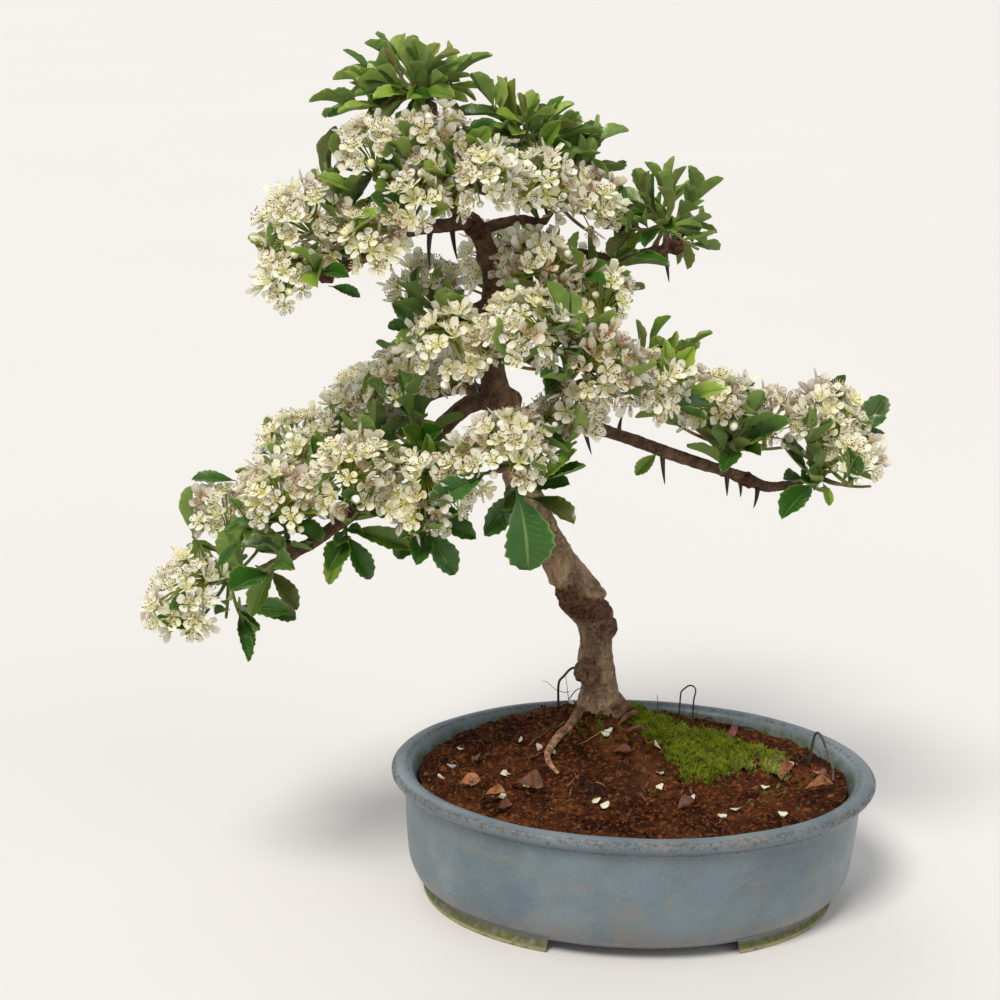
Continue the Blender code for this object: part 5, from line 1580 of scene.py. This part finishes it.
def add_stem(heap, points, first, thick):
    """Adds a green stem, redder towards its foot."""
    path = np.array([tuple(p) for p in points])
    if len(path) == 2:
        path = np.array([path[0], path.mean(axis=0), path[1]])
    path = bend(path[:1], path[1:2] * 2 - (path[:1] + path[2:]) / 2, path[2:], STEM_STEPS)
    radii = np.linspace(0.00095 if thick else 0.00070, 0.00075 if thick else 0.00050, STEM_STEPS)[None]
    spots, faces = strands(path, radii, STEM_SIDES, closed=True)
    marks = blank_marks(len(spots))
    red = np.linspace(1.0 if first else 0.4 * thick, 0.0, STEM_STEPS)
    marks[:STEM_STEPS * STEM_SIDES, 1] = np.repeat(red, STEM_SIDES)
    heap.add(spots, faces, kind=2, marks=marks)


def seen_leaves():
    """Single leaves that stand out against the background, given by foot and tip."""
    for name, foot, tip, *_ in SEEN_LEAVES:
        foot, tip = mm(*foot), mm(*tip)
        aim = (tip - foot).normalized()
        yield name, foot, aim, squared(Vector((0.05, -0.75, 0.65)), aim), (tip - foot).length


# Flowers

def head_list(name):
    """The heads of a spray: middle, radius, stem direction, the way each faces and where its stalks part."""
    heads = []
    for number, (group, seat) in enumerate(zip(SPRAYS[name][2], cluster_seats(name))):
        for k, head in enumerate(group):
            centre, size, out = mm(*head[:3]), head[3] * 0.001, seat[2]
            axis = dome_axis(out)
            start = centre - out * (CORE_SHARE * size + GAP) if k == 0 else centre - axis * size * 0.75
            heads.append((np.array(centre), size, np.array(out), np.array(axis), np.array(start), number + 1))
    return heads


def petal_form(lift, cup, notch, wide):
    """A cupped petal along X with its upper side to Z, and how far out each of its points lies."""
    spots = []
    for x, half in PETAL_STATIONS:
        half *= wide
        low = lift * (x - 0.13) + cup * max(0.0, x - 0.62) ** 2 * 2.2
        edge = low + cup * half * 0.75
        spots += [(x, half, edge), (x, 0, low), (x, -half, edge), (x, 0, low - 0.035)]
    tip = 1.0 - notch
    spots.append((tip, 0, lift * (tip - 0.13) + cup * (tip - 0.62) ** 2 * 2.2 + cup * 0.02))
    radial = np.append(np.repeat([x for x, half in PETAL_STATIONS], 4), 1.0)
    return np.array(spots, float), tube_faces(len(PETAL_STATIONS), 4, tip=len(spots) - 1), radial


def spun(spots, turn):
    """Points turned about Z."""
    c, s = np.cos(turn), np.sin(turn)
    x, y, z = np.moveaxis(spots, -1, 0)
    return np.stack([x * c - y * s, x * s + y * c, z + 0 * c], axis=-1)


def flower_form(seed, lift, cup, petals=5, stamens=15):
    """A flower of radius one that faces Z: petals, stamens with dark heads, green middle and cup."""
    draw = np.random.default_rng(seed)
    heap = Heap()
    for k in range(petals):
        spots, faces, radial = petal_form(lift * draw.uniform(0.4, 1.6), cup * draw.uniform(0.6, 1.4),
                                          draw.uniform(0, 0.06), draw.uniform(0.92, 1.06))
        lean = draw.uniform(-0.3, 0.3)
        c, s = math.cos(lean), math.sin(lean)
        spots = spots @ np.array([[1, 0, 0], [0, c, s], [0, -s, c]])
        turn = math.radians(72 * k) + draw.uniform(-0.11, 0.11)
        spots = spun(spots * draw.uniform(0.93, 1.04), turn)
        heap.add(spots, outward(spots, faces), 0, blank_marks(len(spots), radial))
    turn = 2 * np.pi * np.arange(stamens) / max(stamens, 1) + draw.uniform(-0.2, 0.2, stamens)
    way = np.stack([np.cos(turn), np.sin(turn)], axis=-1)
    reach, tall = draw.uniform(0.26, 0.62, stamens), draw.uniform(0.40, 0.74, stamens)
    foot = np.column_stack([way * 0.13, np.full(stamens, 0.02)])
    tip = np.column_stack([way * reach[:, None], tall])
    paths = np.stack([foot, tip], axis=1)
    spots, faces = strands(paths, np.broadcast_to([0.026, 0.018], (stamens, 2)), 3)
    heap.add(spots, faces, 0, blank_marks(len(spots), 0.6))
    head = np.array(STAMEN_HEAD)[None] * (0.088, 0.058, 0.065)
    spots = spun(head, draw.uniform(0, 3, stamens)[:, None])
    faces = np.array(STAMEN_HEAD_FACES)[None] + (np.arange(stamens) * len(STAMEN_HEAD))[:, None, None]
    heap.add(spots + tip[:, None], faces, 2)
    turn = np.arange(5) * 0.4 * math.pi
    ring = np.stack([np.cos(turn), np.sin(turn), np.zeros(5)], axis=-1)
    cup = [ring * 0.07 + [0, 0, -0.32], ring * 0.17 + [0, 0, -0.03]]
    heap.add(*skin(cup, (0, 0, -0.35), (0, 0, 0.06)), 1)
    return gathered(heap)


def bud_form(seed):
    """A round bud in its green cup."""
    heap = Heap()
    spots, faces = ball(8, 5)
    spots = spots * (1 + 0.05 * lumps(spots, 0.7, seed))[:, None]
    heap.add(spots, faces, 0, blank_marks(len(spots), np.clip(0.55 + 0.4 * spots[:, 2], 0, 1)))
    spots, faces = ball(6, 3)
    heap.add(spots * (0.86, 0.86, 0.6) + (0, 0, -0.55), faces, 1)
    return gathered(heap)


def gathered(heap):
    """A heap's growths as one form to strew."""
    parts = (heap.spots, heap.faces, heap.kinds, heap.marks, heap.sheets)
    return tuple(np.concatenate(part) for part in parts)


def bridges(heads):
    """Smaller domes that fill the dips between heads that all but touch."""
    made = []
    for k, one in enumerate(heads):
        for two in heads[k + 1:]:
            gap, both = np.linalg.norm(one[1] - two[1]), one[2] + two[2]
            if 0.45 * both < gap < 1.06 * both:
                axis = unit(one[4] + two[4])
                size = 0.78 * min(one[2], two[2])
                centre = one[1] + (two[1] - one[1]) * one[2] / both - axis * size * 0.10
                made.append((one[0], centre, size, one[3], axis, one[5], one[6]))
    return made


def flower_seats(settings, wood):
    """Where flowers sit: spray, cluster, place, facing, their head's stalk start and axis, layer, fall."""
    heads = [(name, *head) for name in SPRAYS for head in head_list(name)]
    centres = np.array([head[1] for head in heads])
    sizes = np.array([head[2] for head in heads])
    taken, seats = np.zeros((0, 3)), []
    for layer, (reach, spacing, widest) in enumerate(FLOWER_LAYERS):
        cap = 1 - math.cos(math.radians(widest))
        domes = heads + bridges(heads) if layer == 0 else heads
        for h, (name, centre, size, _, axis, start, number) in enumerate(domes):
            draw = np.random.default_rng(1000 * layer + h)
            radius = size * reach
            count = int(2 * math.pi * radius ** 2 * cap / (spacing ** 2 * 0.78))
            side = unit(np.cross(axis, [0.3, 0.5, 0.8]))
            other = np.cross(axis, side)
            spin = draw.uniform(0, 6.28)
            for k in range(count):
                fall = math.acos(1 - (k + 0.5) / count * cap)
                turn = GOLDEN * k + spin
                spread = side * math.cos(turn) + other * math.sin(turn)
                way = axis * math.cos(fall) + spread * math.sin(fall)
                way = unit(way + draw.normal(0, 0.07, 3))
                spot = centre + way * (radius + draw.uniform(-0.0024, 0.0012))
                rest = np.linalg.norm(centres - spot, axis=1) - sizes
                if h < len(heads):
                    rest[h] = 1
                if rest.min() < -0.0030 or (np.linalg.norm(wood[0] - spot, axis=1) - wood[4]).min() < 0.0030:
                    continue
                if len(taken) and np.linalg.norm(taken - spot, axis=1).min() < spacing * 0.70:
                    continue
                face = unit(way * 0.80 + UP * 0.36 + draw.normal(0, 0.24, 3))
                sink = np.sqrt(np.maximum(1 - face ** 2, 0)) * settings.flower / 2 + 0.0004
                spot = np.clip(spot, LOW + sink, HIGH - sink)
                taken = np.concatenate([taken, spot[None]])
                seats.append((name, number, spot, face, start, axis, layer, fall))
    return seats


def petal_finish(settings):
    """Cream petals, yellow-green at their claws, browned where they are spent."""
    f = Finish("petals", 0.55, Specular_IOR_Level=0.15, Subsurface_Weight=0.45, Subsurface_Scale=0.0024,
               Subsurface_Radius=(1.0, 0.95, 0.55))
    old = f.mix(f.patches(0.35, 0.65, 900, 3), (0.40, 0.17, 0.055), (0.17, 0.045, 0.018))
    inner = f.math("ADD", 0.32, f.times(f.step(f.mark(0), 0.88, 0.45), 0.62))
    f.colour(f.layers(settings.petal, (f.mark(2), 0.75, settings.petal_yellow),
                      (f.patches(0.40, 0.70, 500, 3), 0.18, (0.84, 0.78, 0.52)),
                      (f.step(f.mark(0), 0.60, 0.22), 1, (0.64, 0.64, 0.13)), (f.mark(1), inner, old)))
    f.relief(f.cloud(900, 3), 0.00015)
    return f.made


def centre_finish():
    """Yellow-green cups, sepals and stalks."""
    f = Finish("flower_green", 0.5, Specular_IOR_Level=0.35)
    f.colour(f.layers((0.42, 0.46, 0.06), (f.patches(0.40, 0.65, 160, 3), 1, (0.24, 0.33, 0.04)),
                      (f.mark(1), 0.9, (0.25, 0.08, 0.03))))
    f.relief(f.cloud(1800, 3), 0.0001)
    return f.made


def anther_finish():
    """Stamen heads from fresh straw-yellow to dark red-brown."""
    f = Finish("stamen_heads", 0.6)
    f.colour(f.mix(f.step(f.mark(3), 0.24, 0.30), (0.62, 0.45, 0.10),
                   f.mix(f.cloud(700, 2), (0.30, 0.075, 0.022), (0.085, 0.022, 0.012))))
    return f.made


def make_flowers(settings):
    """Every cluster's flowers, buds and stalks, over the domes that the CAD clusters fill."""
    draw = np.random.default_rng(16)
    wood = [part[::3] for part in wood_samples(wood_paths())]
    seats = flower_seats(settings, wood)
    open_forms = [flower_form(200 + k, *shape) for k, shape in enumerate(FLOWER_SHAPES)]
    inner_forms = [flower_form(300 + k, 0.7, 0.6, stamens=4) for k in range(2)]
    spent_forms = [flower_form(400 + k, 0.9, 0.8, 2 + k, 13) for k in range(2)]
    buds = [bud_form(500 + k) for k in range(2)]
    finishes = [petal_finish(settings), centre_finish(), anther_finish()]
    for name, number in sorted({seat[:2] for seat in seats}):
        mine = [seat[2:] for seat in seats if seat[:2] == (name, number)]
        spots, faces, start, axis, layer, fall = (np.array(column) for column in zip(*mine))
        many = len(mine)
        turns = frames_towards(faces, draw.uniform(0, 6.28, many))
        is_bud = draw.random(many) < 0.04 + 0.18 * (fall > 1.3)
        patch = smoothstep(lumps(spots, 0.016, 92), -0.1, 0.6) * 1.6 + 0.4
        patch = patch * SPENT_CLUSTERS.get((name, number), SPENT_ELSEWHERE)
        is_spent = ~is_bud & (draw.random(many) < settings.spent * patch)
        size = settings.flower / 2 * draw.uniform(0.84, 1.10, many)
        size = np.where(is_bud, draw.uniform(0.0011, 0.0017, many), size)
        spent = np.where(is_spent, draw.uniform(0.5, 1.0, many), draw.random(many) ** 6 * 0.4)
        yellow = draw.random(many) ** 2
        marks = np.column_stack([spent, yellow, np.maximum(draw.random(many), 0.6 * is_spent)])
        heap = Heap()
        fresh = ~is_bud & ~is_spent
        for forms, chosen in ((open_forms, fresh & (layer == 0)), (spent_forms, is_spent),
                              (inner_forms, fresh & (layer > 0)), (buds, is_bud)):
            pick = np.where(chosen, draw.integers(0, len(forms), many), -1)
            heap.strew_mixed(forms, pick, turns, spots, size[:, None], marks)
        end = spots - faces * size[:, None] * 0.34
        far = np.linalg.norm(end - start, axis=1, keepdims=True)
        paths = bend(start + draw.normal(0, 0.0003, (many, 3)), start + axis * far * 0.42, end, 4)
        stalks, sides = strands(paths, np.broadcast_to([0.00036, 0.00030, 0.00026, 0.00032], (many, 4)), 3)
        heap.add(stalks, sides, kind=1)
        heads = [head for head in head_list(name) if head[5] == number]
        if len(heads) > 1:
            one, two = heads[:2]
            link = bend([one[4]], [(one[4] + two[4]) / 2 - one[3] * 0.003], [two[4]], 8)
            heap.add(*strands(link, np.full((1, 8), 0.0007), 6), kind=1)
        heap.piece(f"flowers_{name}_{number}", finishes, [f"blooms_{name}_{number}"], crease=60)

# Fallen petals, dead leaves, rootlets and tie wires

def resting(x, y, lift):
    """A place a lift above the rough soil, in metres from places in millimetres."""
    x, y = x * 0.001, y * 0.001
    return np.array([x, y, soil_surface(np.array([x]), np.array([y]))[0] + lift])


def dead_finish():
    """Dry leaf, from red-brown to orange-brown, darker along its rib."""
    f = Finish("dead_leaf", 0.5, Specular_IOR_Level=0.30)
    across = f.off_rib()[1]
    f.colour(f.layers((0.105, 0.026, 0.012), (f.mark(1), 1, (0.36, 0.13, 0.030)),
                      (f.mark(2), 1, (0.21, 0.060, 0.038)),
                      (f.patches(0.42, 0.66, 420, 4, 0.65), 1, (0.035, 0.014, 0.008)),
                      (f.step(across, 0.14, 0.02), 0.5, (0.09, 0.04, 0.025))))
    f.relief(f.cloud(700, 4), 0.0003)
    return f.made


def scatter(draw, count, half_x, half_y):
    """Random places on the soil in millimetres, without those by the pot's wall."""
    spots = draw.uniform(-1, 1, (count, 2)) * (half_x, half_y)
    return [(x, y) for x, y in spots if (x / (half_x + 4)) ** 2 + (y / (half_y + 3)) ** 2 < 0.9]


def strew_petals(draw, heap):
    """Fallen petals."""
    form = simple_form(*petal_form(0.10, 0.7, 0.02, 1.5))
    places = np.array([resting(x, y, 0.0007) for x, y in FALLEN_PETALS + scatter(draw, 16, 70, 52)])
    many = len(places)
    turns = frames_towards(np.column_stack([draw.normal(0, 0.35, (many, 2)), np.ones(many)]),
                           draw.uniform(0, 6.28, many))
    sizes = draw.uniform(0.0026, 0.0040, (many, 1))
    marks = np.column_stack([draw.random(many) ** 4 * 0.4, draw.random(many) * 0.3, draw.random(many)])
    heap.strew((form[0] - [0.55, 0, 0], *form[1:]), turns, places, sizes, marks)


def lay_dead_leaves(draw, heap):
    """Curled dead leaves."""
    for k, (foot, tip, wide, curl, orange, pink) in enumerate(DEAD_LEAVES):
        spots, faces, kinds, marks, sheet = leaf_form(wide, curl, 0.9, k + 3, 16, pointed=True)
        spots[:, 2] += 1.2 * spots[:, 1] ** 2 - 0.42 * np.abs(spots[:, 1]) + 0.05 * lumps(spots, 0.22, 80 + k)
        a, b = resting(*foot, 0.0012), resting(*tip, 0.0012 + 0.0010 * (k % 3))
        x = unit(b - a)
        y = unit(np.cross(UP, x)) + UP * draw.uniform(-0.35, 0.35)
        y = unit(y - x * (x @ y))
        turn = np.stack([x, y, np.cross(x, y)], axis=-1)[None]
        heap.strew((spots, faces, kinds * 0 + 1, marks, sheet), turn, [a], [[np.linalg.norm(b - a)]],
                   [[orange, pink, 0.5]])


def lay_rootlets(draw, heap):
    """Fine rootlets on the soil, and those that stand free."""
    paths = []
    steps = np.linspace(0, 1, ROOTLET_STEPS)
    for x, y in scatter(draw, 90, 72, 54):
        turn, far = draw.uniform(0, 6.28), draw.uniform(2.5, 7.0)
        swing = turn + draw.uniform(-1.5, 1.5) * steps
        flat = np.stack([x + np.cumsum(np.cos(swing)) * far / ROOTLET_STEPS,
                         y + np.cumsum(np.sin(swing)) * far / ROOTLET_STEPS])
        flat = flat * np.minimum(1, 0.97 / np.hypot(flat[0] / 77.6, flat[1] / 58.9)) * 0.001
        rise = np.sin(steps * math.pi * draw.uniform(0.6, 1.6)) * draw.uniform(0, 0.0012)
        paths.append(np.column_stack([*flat, soil_surface(*flat) + 0.0002 + rise]))
    for route in STRAY_ROOTS:
        rows = np.array([tuple(p) for p in smooth_route([(*p, 0) for p in route], 3)])[:, :3] * 0.001
        rows = rows[np.linspace(0, len(rows) - 1, ROOTLET_STEPS).round().astype(int)]
        rows[:, 2] += soil_surface(rows[:, 0], rows[:, 1])
        paths.append(rows)
    radii = np.outer(draw.uniform(0.00012, 0.00026, len(paths)), np.linspace(1, 0.6, ROOTLET_STEPS))
    heap.add(*strands(paths, radii, 5), kind=2)


def make_litter(settings):
    """White petals, dead leaves and fine rootlets that lie on the soil."""
    draw = np.random.default_rng(17)
    heap = Heap()
    strew_petals(draw, heap)
    lay_dead_leaves(draw, heap)
    lay_rootlets(draw, heap)
    f = Finish("rootlet", 0.75, Specular_IOR_Level=0.25)
    f.colour(f.mix(f.patches(0.40, 0.60, 60, 2), (0.30, 0.15, 0.075), (0.075, 0.035, 0.022)))
    f.relief(f.cloud(1500, 3), 0.0001)
    return heap.piece("litter", [petal_finish(settings), dead_finish(), f.made], crease=60)


def make_wires():
    """The bent black tie wires that stand out of the soil."""
    f = Finish("wire", 0.45, Specular_IOR_Level=0.4)
    f.colour(f.mix(f.patches(0.50, 0.70, 350, 4), (0.040, 0.033, 0.028), (0.130, 0.085, 0.060)))
    f.roughness(f.cloud(400, 3), 0.35, 0.75)
    f.relief(f.cloud(900, 3), 0.0001)
    for name, radius, route in WIRES:
        rows = [Vector((x, y, z + radius + 0.3)) for x, y, z in route]
        rows = np.array([tuple(p) for p in smooth_route(rows, 8)]) * 0.001
        rows[:, 2] += soil_top(rows[:, 0], rows[:, 1])
        heap = Heap()
        heap.add(*strands([rows], np.full((1, len(rows)), radius * 0.00078), 14, closed=True))
        heap.piece("tie_" + name, [f.made], [name])


def dress_screens():
    """Green plastic for the CAD part's own drain screens."""
    f = Finish("screen", 0.5)
    f.colour(f.mix(f.cloud(300, 3), (0.020, 0.050, 0.030), (0.040, 0.075, 0.045)))
    f.roughness(f.cloud(500, 3), 0.4, 0.7)
    f.relief(f.cloud(1200, 2), 0.0001)
    for side in ("left", "right"):
        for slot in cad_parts["drain_screen_" + side].material_slots:
            slot.material = f.made


# Stage

def make_stage(settings):
    """A plain pale floor, soft studio light and the camera at the photograph's viewing angle."""
    scene = bpy.context.scene
    floor = work_object("floor", *disc(FLOOR_RADIUS, 96))
    f = Finish("floor", 0.85, Specular_IOR_Level=0.2)
    f.colour(f.mix(f.cloud(3, 2), settings.floor, shade(settings.floor, 0.975)))
    floor.data.materials.append(f.made)
    for name, turn, energy, angle, colour in SUNS:
        lamp = bpy.data.lights.new(name, "SUN")
        lamp.energy = energy * settings.light
        lamp.angle = math.radians(angle)
        lamp.color = colour
        holder = bpy.data.objects.new(name, lamp)
        holder.rotation_euler = [math.radians(a) for a in turn]
        scene.collection.objects.link(holder)
    world = bpy.data.worlds.new("studio")
    world.use_nodes = True
    sky = world.node_tree.nodes["Background"]
    sky.inputs["Color"].default_value = (*SKY, 1.0)
    sky.inputs["Strength"].default_value = settings.ambient
    scene.world = world
    scene.view_settings.view_transform = "Standard"
    pitch, turn, roll = (math.radians(a) for a in CAMERA_ANGLES)
    level = math.cos(pitch)
    forward = Vector((math.sin(turn) * level, math.cos(turn) * level, -math.sin(pitch)))
    right = forward.cross(UPWARD).normalized()
    top = right.cross(forward)
    aside = right * math.cos(roll) + top * math.sin(roll)
    above = top * math.cos(roll) - right * math.sin(roll)
    view = bpy.data.cameras.new("view")
    view.lens = CAMERA_LENS
    view.sensor_width = 36.0
    view.clip_end = 50.0
    camera = bpy.data.objects.new("view", view)
    place = Matrix((aside, above, -forward)).transposed().to_4x4()
    place.translation = Vector(CAMERA_PLACE) + Vector(SHIFT)
    camera.matrix_world = place
    scene.collection.objects.link(camera)
    scene.camera = camera


def disc(radius, sides):
    """A flat round floor, just under the pot's feet."""
    turns = 2 * np.pi * np.arange(sides) / sides
    spots = np.column_stack([np.cos(turns) * radius, np.sin(turns) * radius, np.zeros(sides)])
    return np.concatenate([spots, [[0, 0, 0]]]), [(k, (k + 1) % sides, sides) for k in range(sides)]


# Add-on

def tone(name, description, default):
    """A colour that the panel shows."""
    return FloatVectorProperty(name=name, description=description, subtype="COLOR", default=default, min=0,
                               max=1)


class PotSettings(bpy.types.PropertyGroup):
    """Colours of the glazed pot."""

    glaze: tone("Glaze", "Main blue of the glaze", (0.090, 0.128, 0.150))
    glaze_pale: tone("Pale glaze", "Paler blue of the glaze's clouds", (0.138, 0.182, 0.205))


class SoilSettings(bpy.types.PropertyGroup):
    """Colours and counts of the soil and its moss."""

    soil: tone("Soil", "Brown of the damp soil", (0.062, 0.019, 0.0075))
    moss: tone("Moss", "Green at the foot of the moss", (0.062, 0.092, 0.004))
    moss_pale: tone("Moss tips", "Green at the tips of the moss", (0.38, 0.45, 0.022))
    crumbs: IntProperty(name="Crumbs", description="Loose crumbs on the soil", default=2400, min=0, max=8000)
    moss_blades: IntProperty(name="Moss blades", description="Blades in the moss", default=6300, min=0,
                             max=15000)


class WoodSettings(bpy.types.PropertyGroup):
    """Colours of the bark."""

    bark: tone("Old bark", "Grey-tan bark of the trunk", (0.43, 0.27, 0.155))
    bark_young: tone("Young bark", "Dark bark of the branches", (0.098, 0.054, 0.034))
    bark_scar: tone("Scars", "Raw rust-red of scars and knots", (0.155, 0.051, 0.026))


class LeafSettings(bpy.types.PropertyGroup):
    """Colours of the leaves."""

    leaf: tone("Leaf", "Dark green of grown leaves", (0.024, 0.090, 0.007))
    leaf_young: tone("Young leaf", "Light green of young leaves", (0.245, 0.345, 0.040))


class FlowerSettings(bpy.types.PropertyGroup):
    """Size and colours of the flowers."""

    flower: FloatProperty(name="Flower", description="Width of an open flower", subtype="DISTANCE",
                          unit="LENGTH", default=0.0085, min=0.004, max=0.02)
    spent: FloatProperty(name="Spent", description="Share of the flowers that are over", subtype="FACTOR",
                         default=0.19, min=0, max=1)
    petal: tone("Petal", "Cream of the petals", (0.96, 0.93, 0.745))
    petal_yellow: tone("Yellowed petal", "Warmer cream of some petals", (0.88, 0.83, 0.42))


class StageSettings(bpy.types.PropertyGroup):
    """The studio round the plant."""

    floor: tone("Floor", "Plain pale floor", (0.69, 0.665, 0.64))
    light: FloatProperty(name="Lamps", description="Strength of the lamps", default=1.0, min=0, max=10)
    ambient: FloatProperty(name="Ambient", description="Strength of the light from all round", default=0.50,
                           min=0, max=5)


class BONSAI_OT_pot(bpy.types.Operator):
    """Turn the glazed pot, and finish its drain screens"""

    bl_idname = "bonsai.pot"
    bl_label = "Glazed pot"

    def execute(self, context):
        make_pot(context.scene.bonsai_pot)
        dress_screens()
        return {"FINISHED"}


class BONSAI_OT_soil(bpy.types.Operator):
    """Fill the pot with crumbly soil"""

    bl_idname = "bonsai.soil"
    bl_label = "Soil"

    def execute(self, context):
        make_soil(context.scene.bonsai_soil)
        return {"FINISHED"}


class BONSAI_OT_moss(bpy.types.Operator):
    """Grow the cushion of moss"""

    bl_idname = "bonsai.moss"
    bl_label = "Moss"

    def execute(self, context):
        make_moss(context.scene.bonsai_soil)
        return {"FINISHED"}


class BONSAI_OT_litter(bpy.types.Operator):
    """Strew fallen petals, dead leaves and rootlets"""

    bl_idname = "bonsai.litter"
    bl_label = "Litter"

    def execute(self, context):
        make_litter(context.scene.bonsai_flowers)
        return {"FINISHED"}


class BONSAI_OT_wires(bpy.types.Operator):
    """Bend the tie wires"""

    bl_idname = "bonsai.wires"
    bl_label = "Tie wires"

    def execute(self, context):
        make_wires()
        return {"FINISHED"}


class BONSAI_OT_wood(bpy.types.Operator):
    """Grow trunk, branches and thorns"""

    bl_idname = "bonsai.wood"
    bl_label = "Wood"

    def execute(self, context):
        make_wood(context.scene.bonsai_wood)
        make_thorns()
        return {"FINISHED"}


class BONSAI_OT_leaves(bpy.types.Operator):
    """Grow the leafy sprays"""

    bl_idname = "bonsai.leaves"
    bl_label = "Leaves"

    def execute(self, context):
        make_leaves(context.scene.bonsai_leaves)
        return {"FINISHED"}


class BONSAI_OT_flowers(bpy.types.Operator):
    """Open the flowers of every cluster"""

    bl_idname = "bonsai.flowers"
    bl_label = "Flowers"

    def execute(self, context):
        make_flowers(context.scene.bonsai_flowers)
        return {"FINISHED"}


class BONSAI_OT_stage(bpy.types.Operator):
    """Set the floor, the lamps and the camera"""

    bl_idname = "bonsai.stage"
    bl_label = "Stage"

    def execute(self, context):
        make_stage(context.scene.bonsai_stage)
        return {"FINISHED"}


class BONSAI_PT_panel(bpy.types.Panel):
    """The sizes, colours and steps of the bonsai"""

    bl_idname = "BONSAI_PT_panel"
    bl_label = "Pyracantha bonsai"
    bl_space_type = "VIEW_3D"
    bl_region_type = "UI"
    bl_category = "Bonsai"

    def draw(self, context):
        for group in SETTINGS:
            box = self.layout.box()
            settings = getattr(context.scene, group)
            for name in settings.bl_rna.properties.keys():
                if name not in ("rna_type", "name"):
                    box.prop(settings, name)
        for operator in STEPS:
            self.layout.operator(operator.bl_idname)


SETTINGS = {"bonsai_pot": PotSettings, "bonsai_soil": SoilSettings, "bonsai_wood": WoodSettings,
            "bonsai_leaves": LeafSettings, "bonsai_flowers": FlowerSettings, "bonsai_stage": StageSettings}
STEPS = (BONSAI_OT_stage, BONSAI_OT_pot, BONSAI_OT_soil, BONSAI_OT_moss, BONSAI_OT_litter, BONSAI_OT_wires,
         BONSAI_OT_wood, BONSAI_OT_leaves, BONSAI_OT_flowers)


def register():
    """Adds the settings, the steps and the panel."""
    for group in SETTINGS.values():
        bpy.utils.register_class(group)
    for name, group in SETTINGS.items():
        setattr(bpy.types.Scene, name, PointerProperty(type=group))
    for made in (*STEPS, BONSAI_PT_panel):
        bpy.utils.register_class(made)


def unregister():
    """Takes the panel, the steps and the settings away."""
    for made in (BONSAI_PT_panel, *reversed(STEPS)):
        bpy.utils.unregister_class(made)
    for name in SETTINGS:
        delattr(bpy.types.Scene, name)
    for group in SETTINGS.values():
        bpy.utils.unregister_class(group)


def main():
    """Runs every step."""
    register()
    bpy.ops.bonsai.stage()
    bpy.ops.bonsai.pot()
    bpy.ops.bonsai.soil()
    bpy.ops.bonsai.moss()
    bpy.ops.bonsai.litter()
    bpy.ops.bonsai.wires()
    bpy.ops.bonsai.wood()
    bpy.ops.bonsai.leaves()
    bpy.ops.bonsai.flowers()


if __name__ == "__main__":
    main()
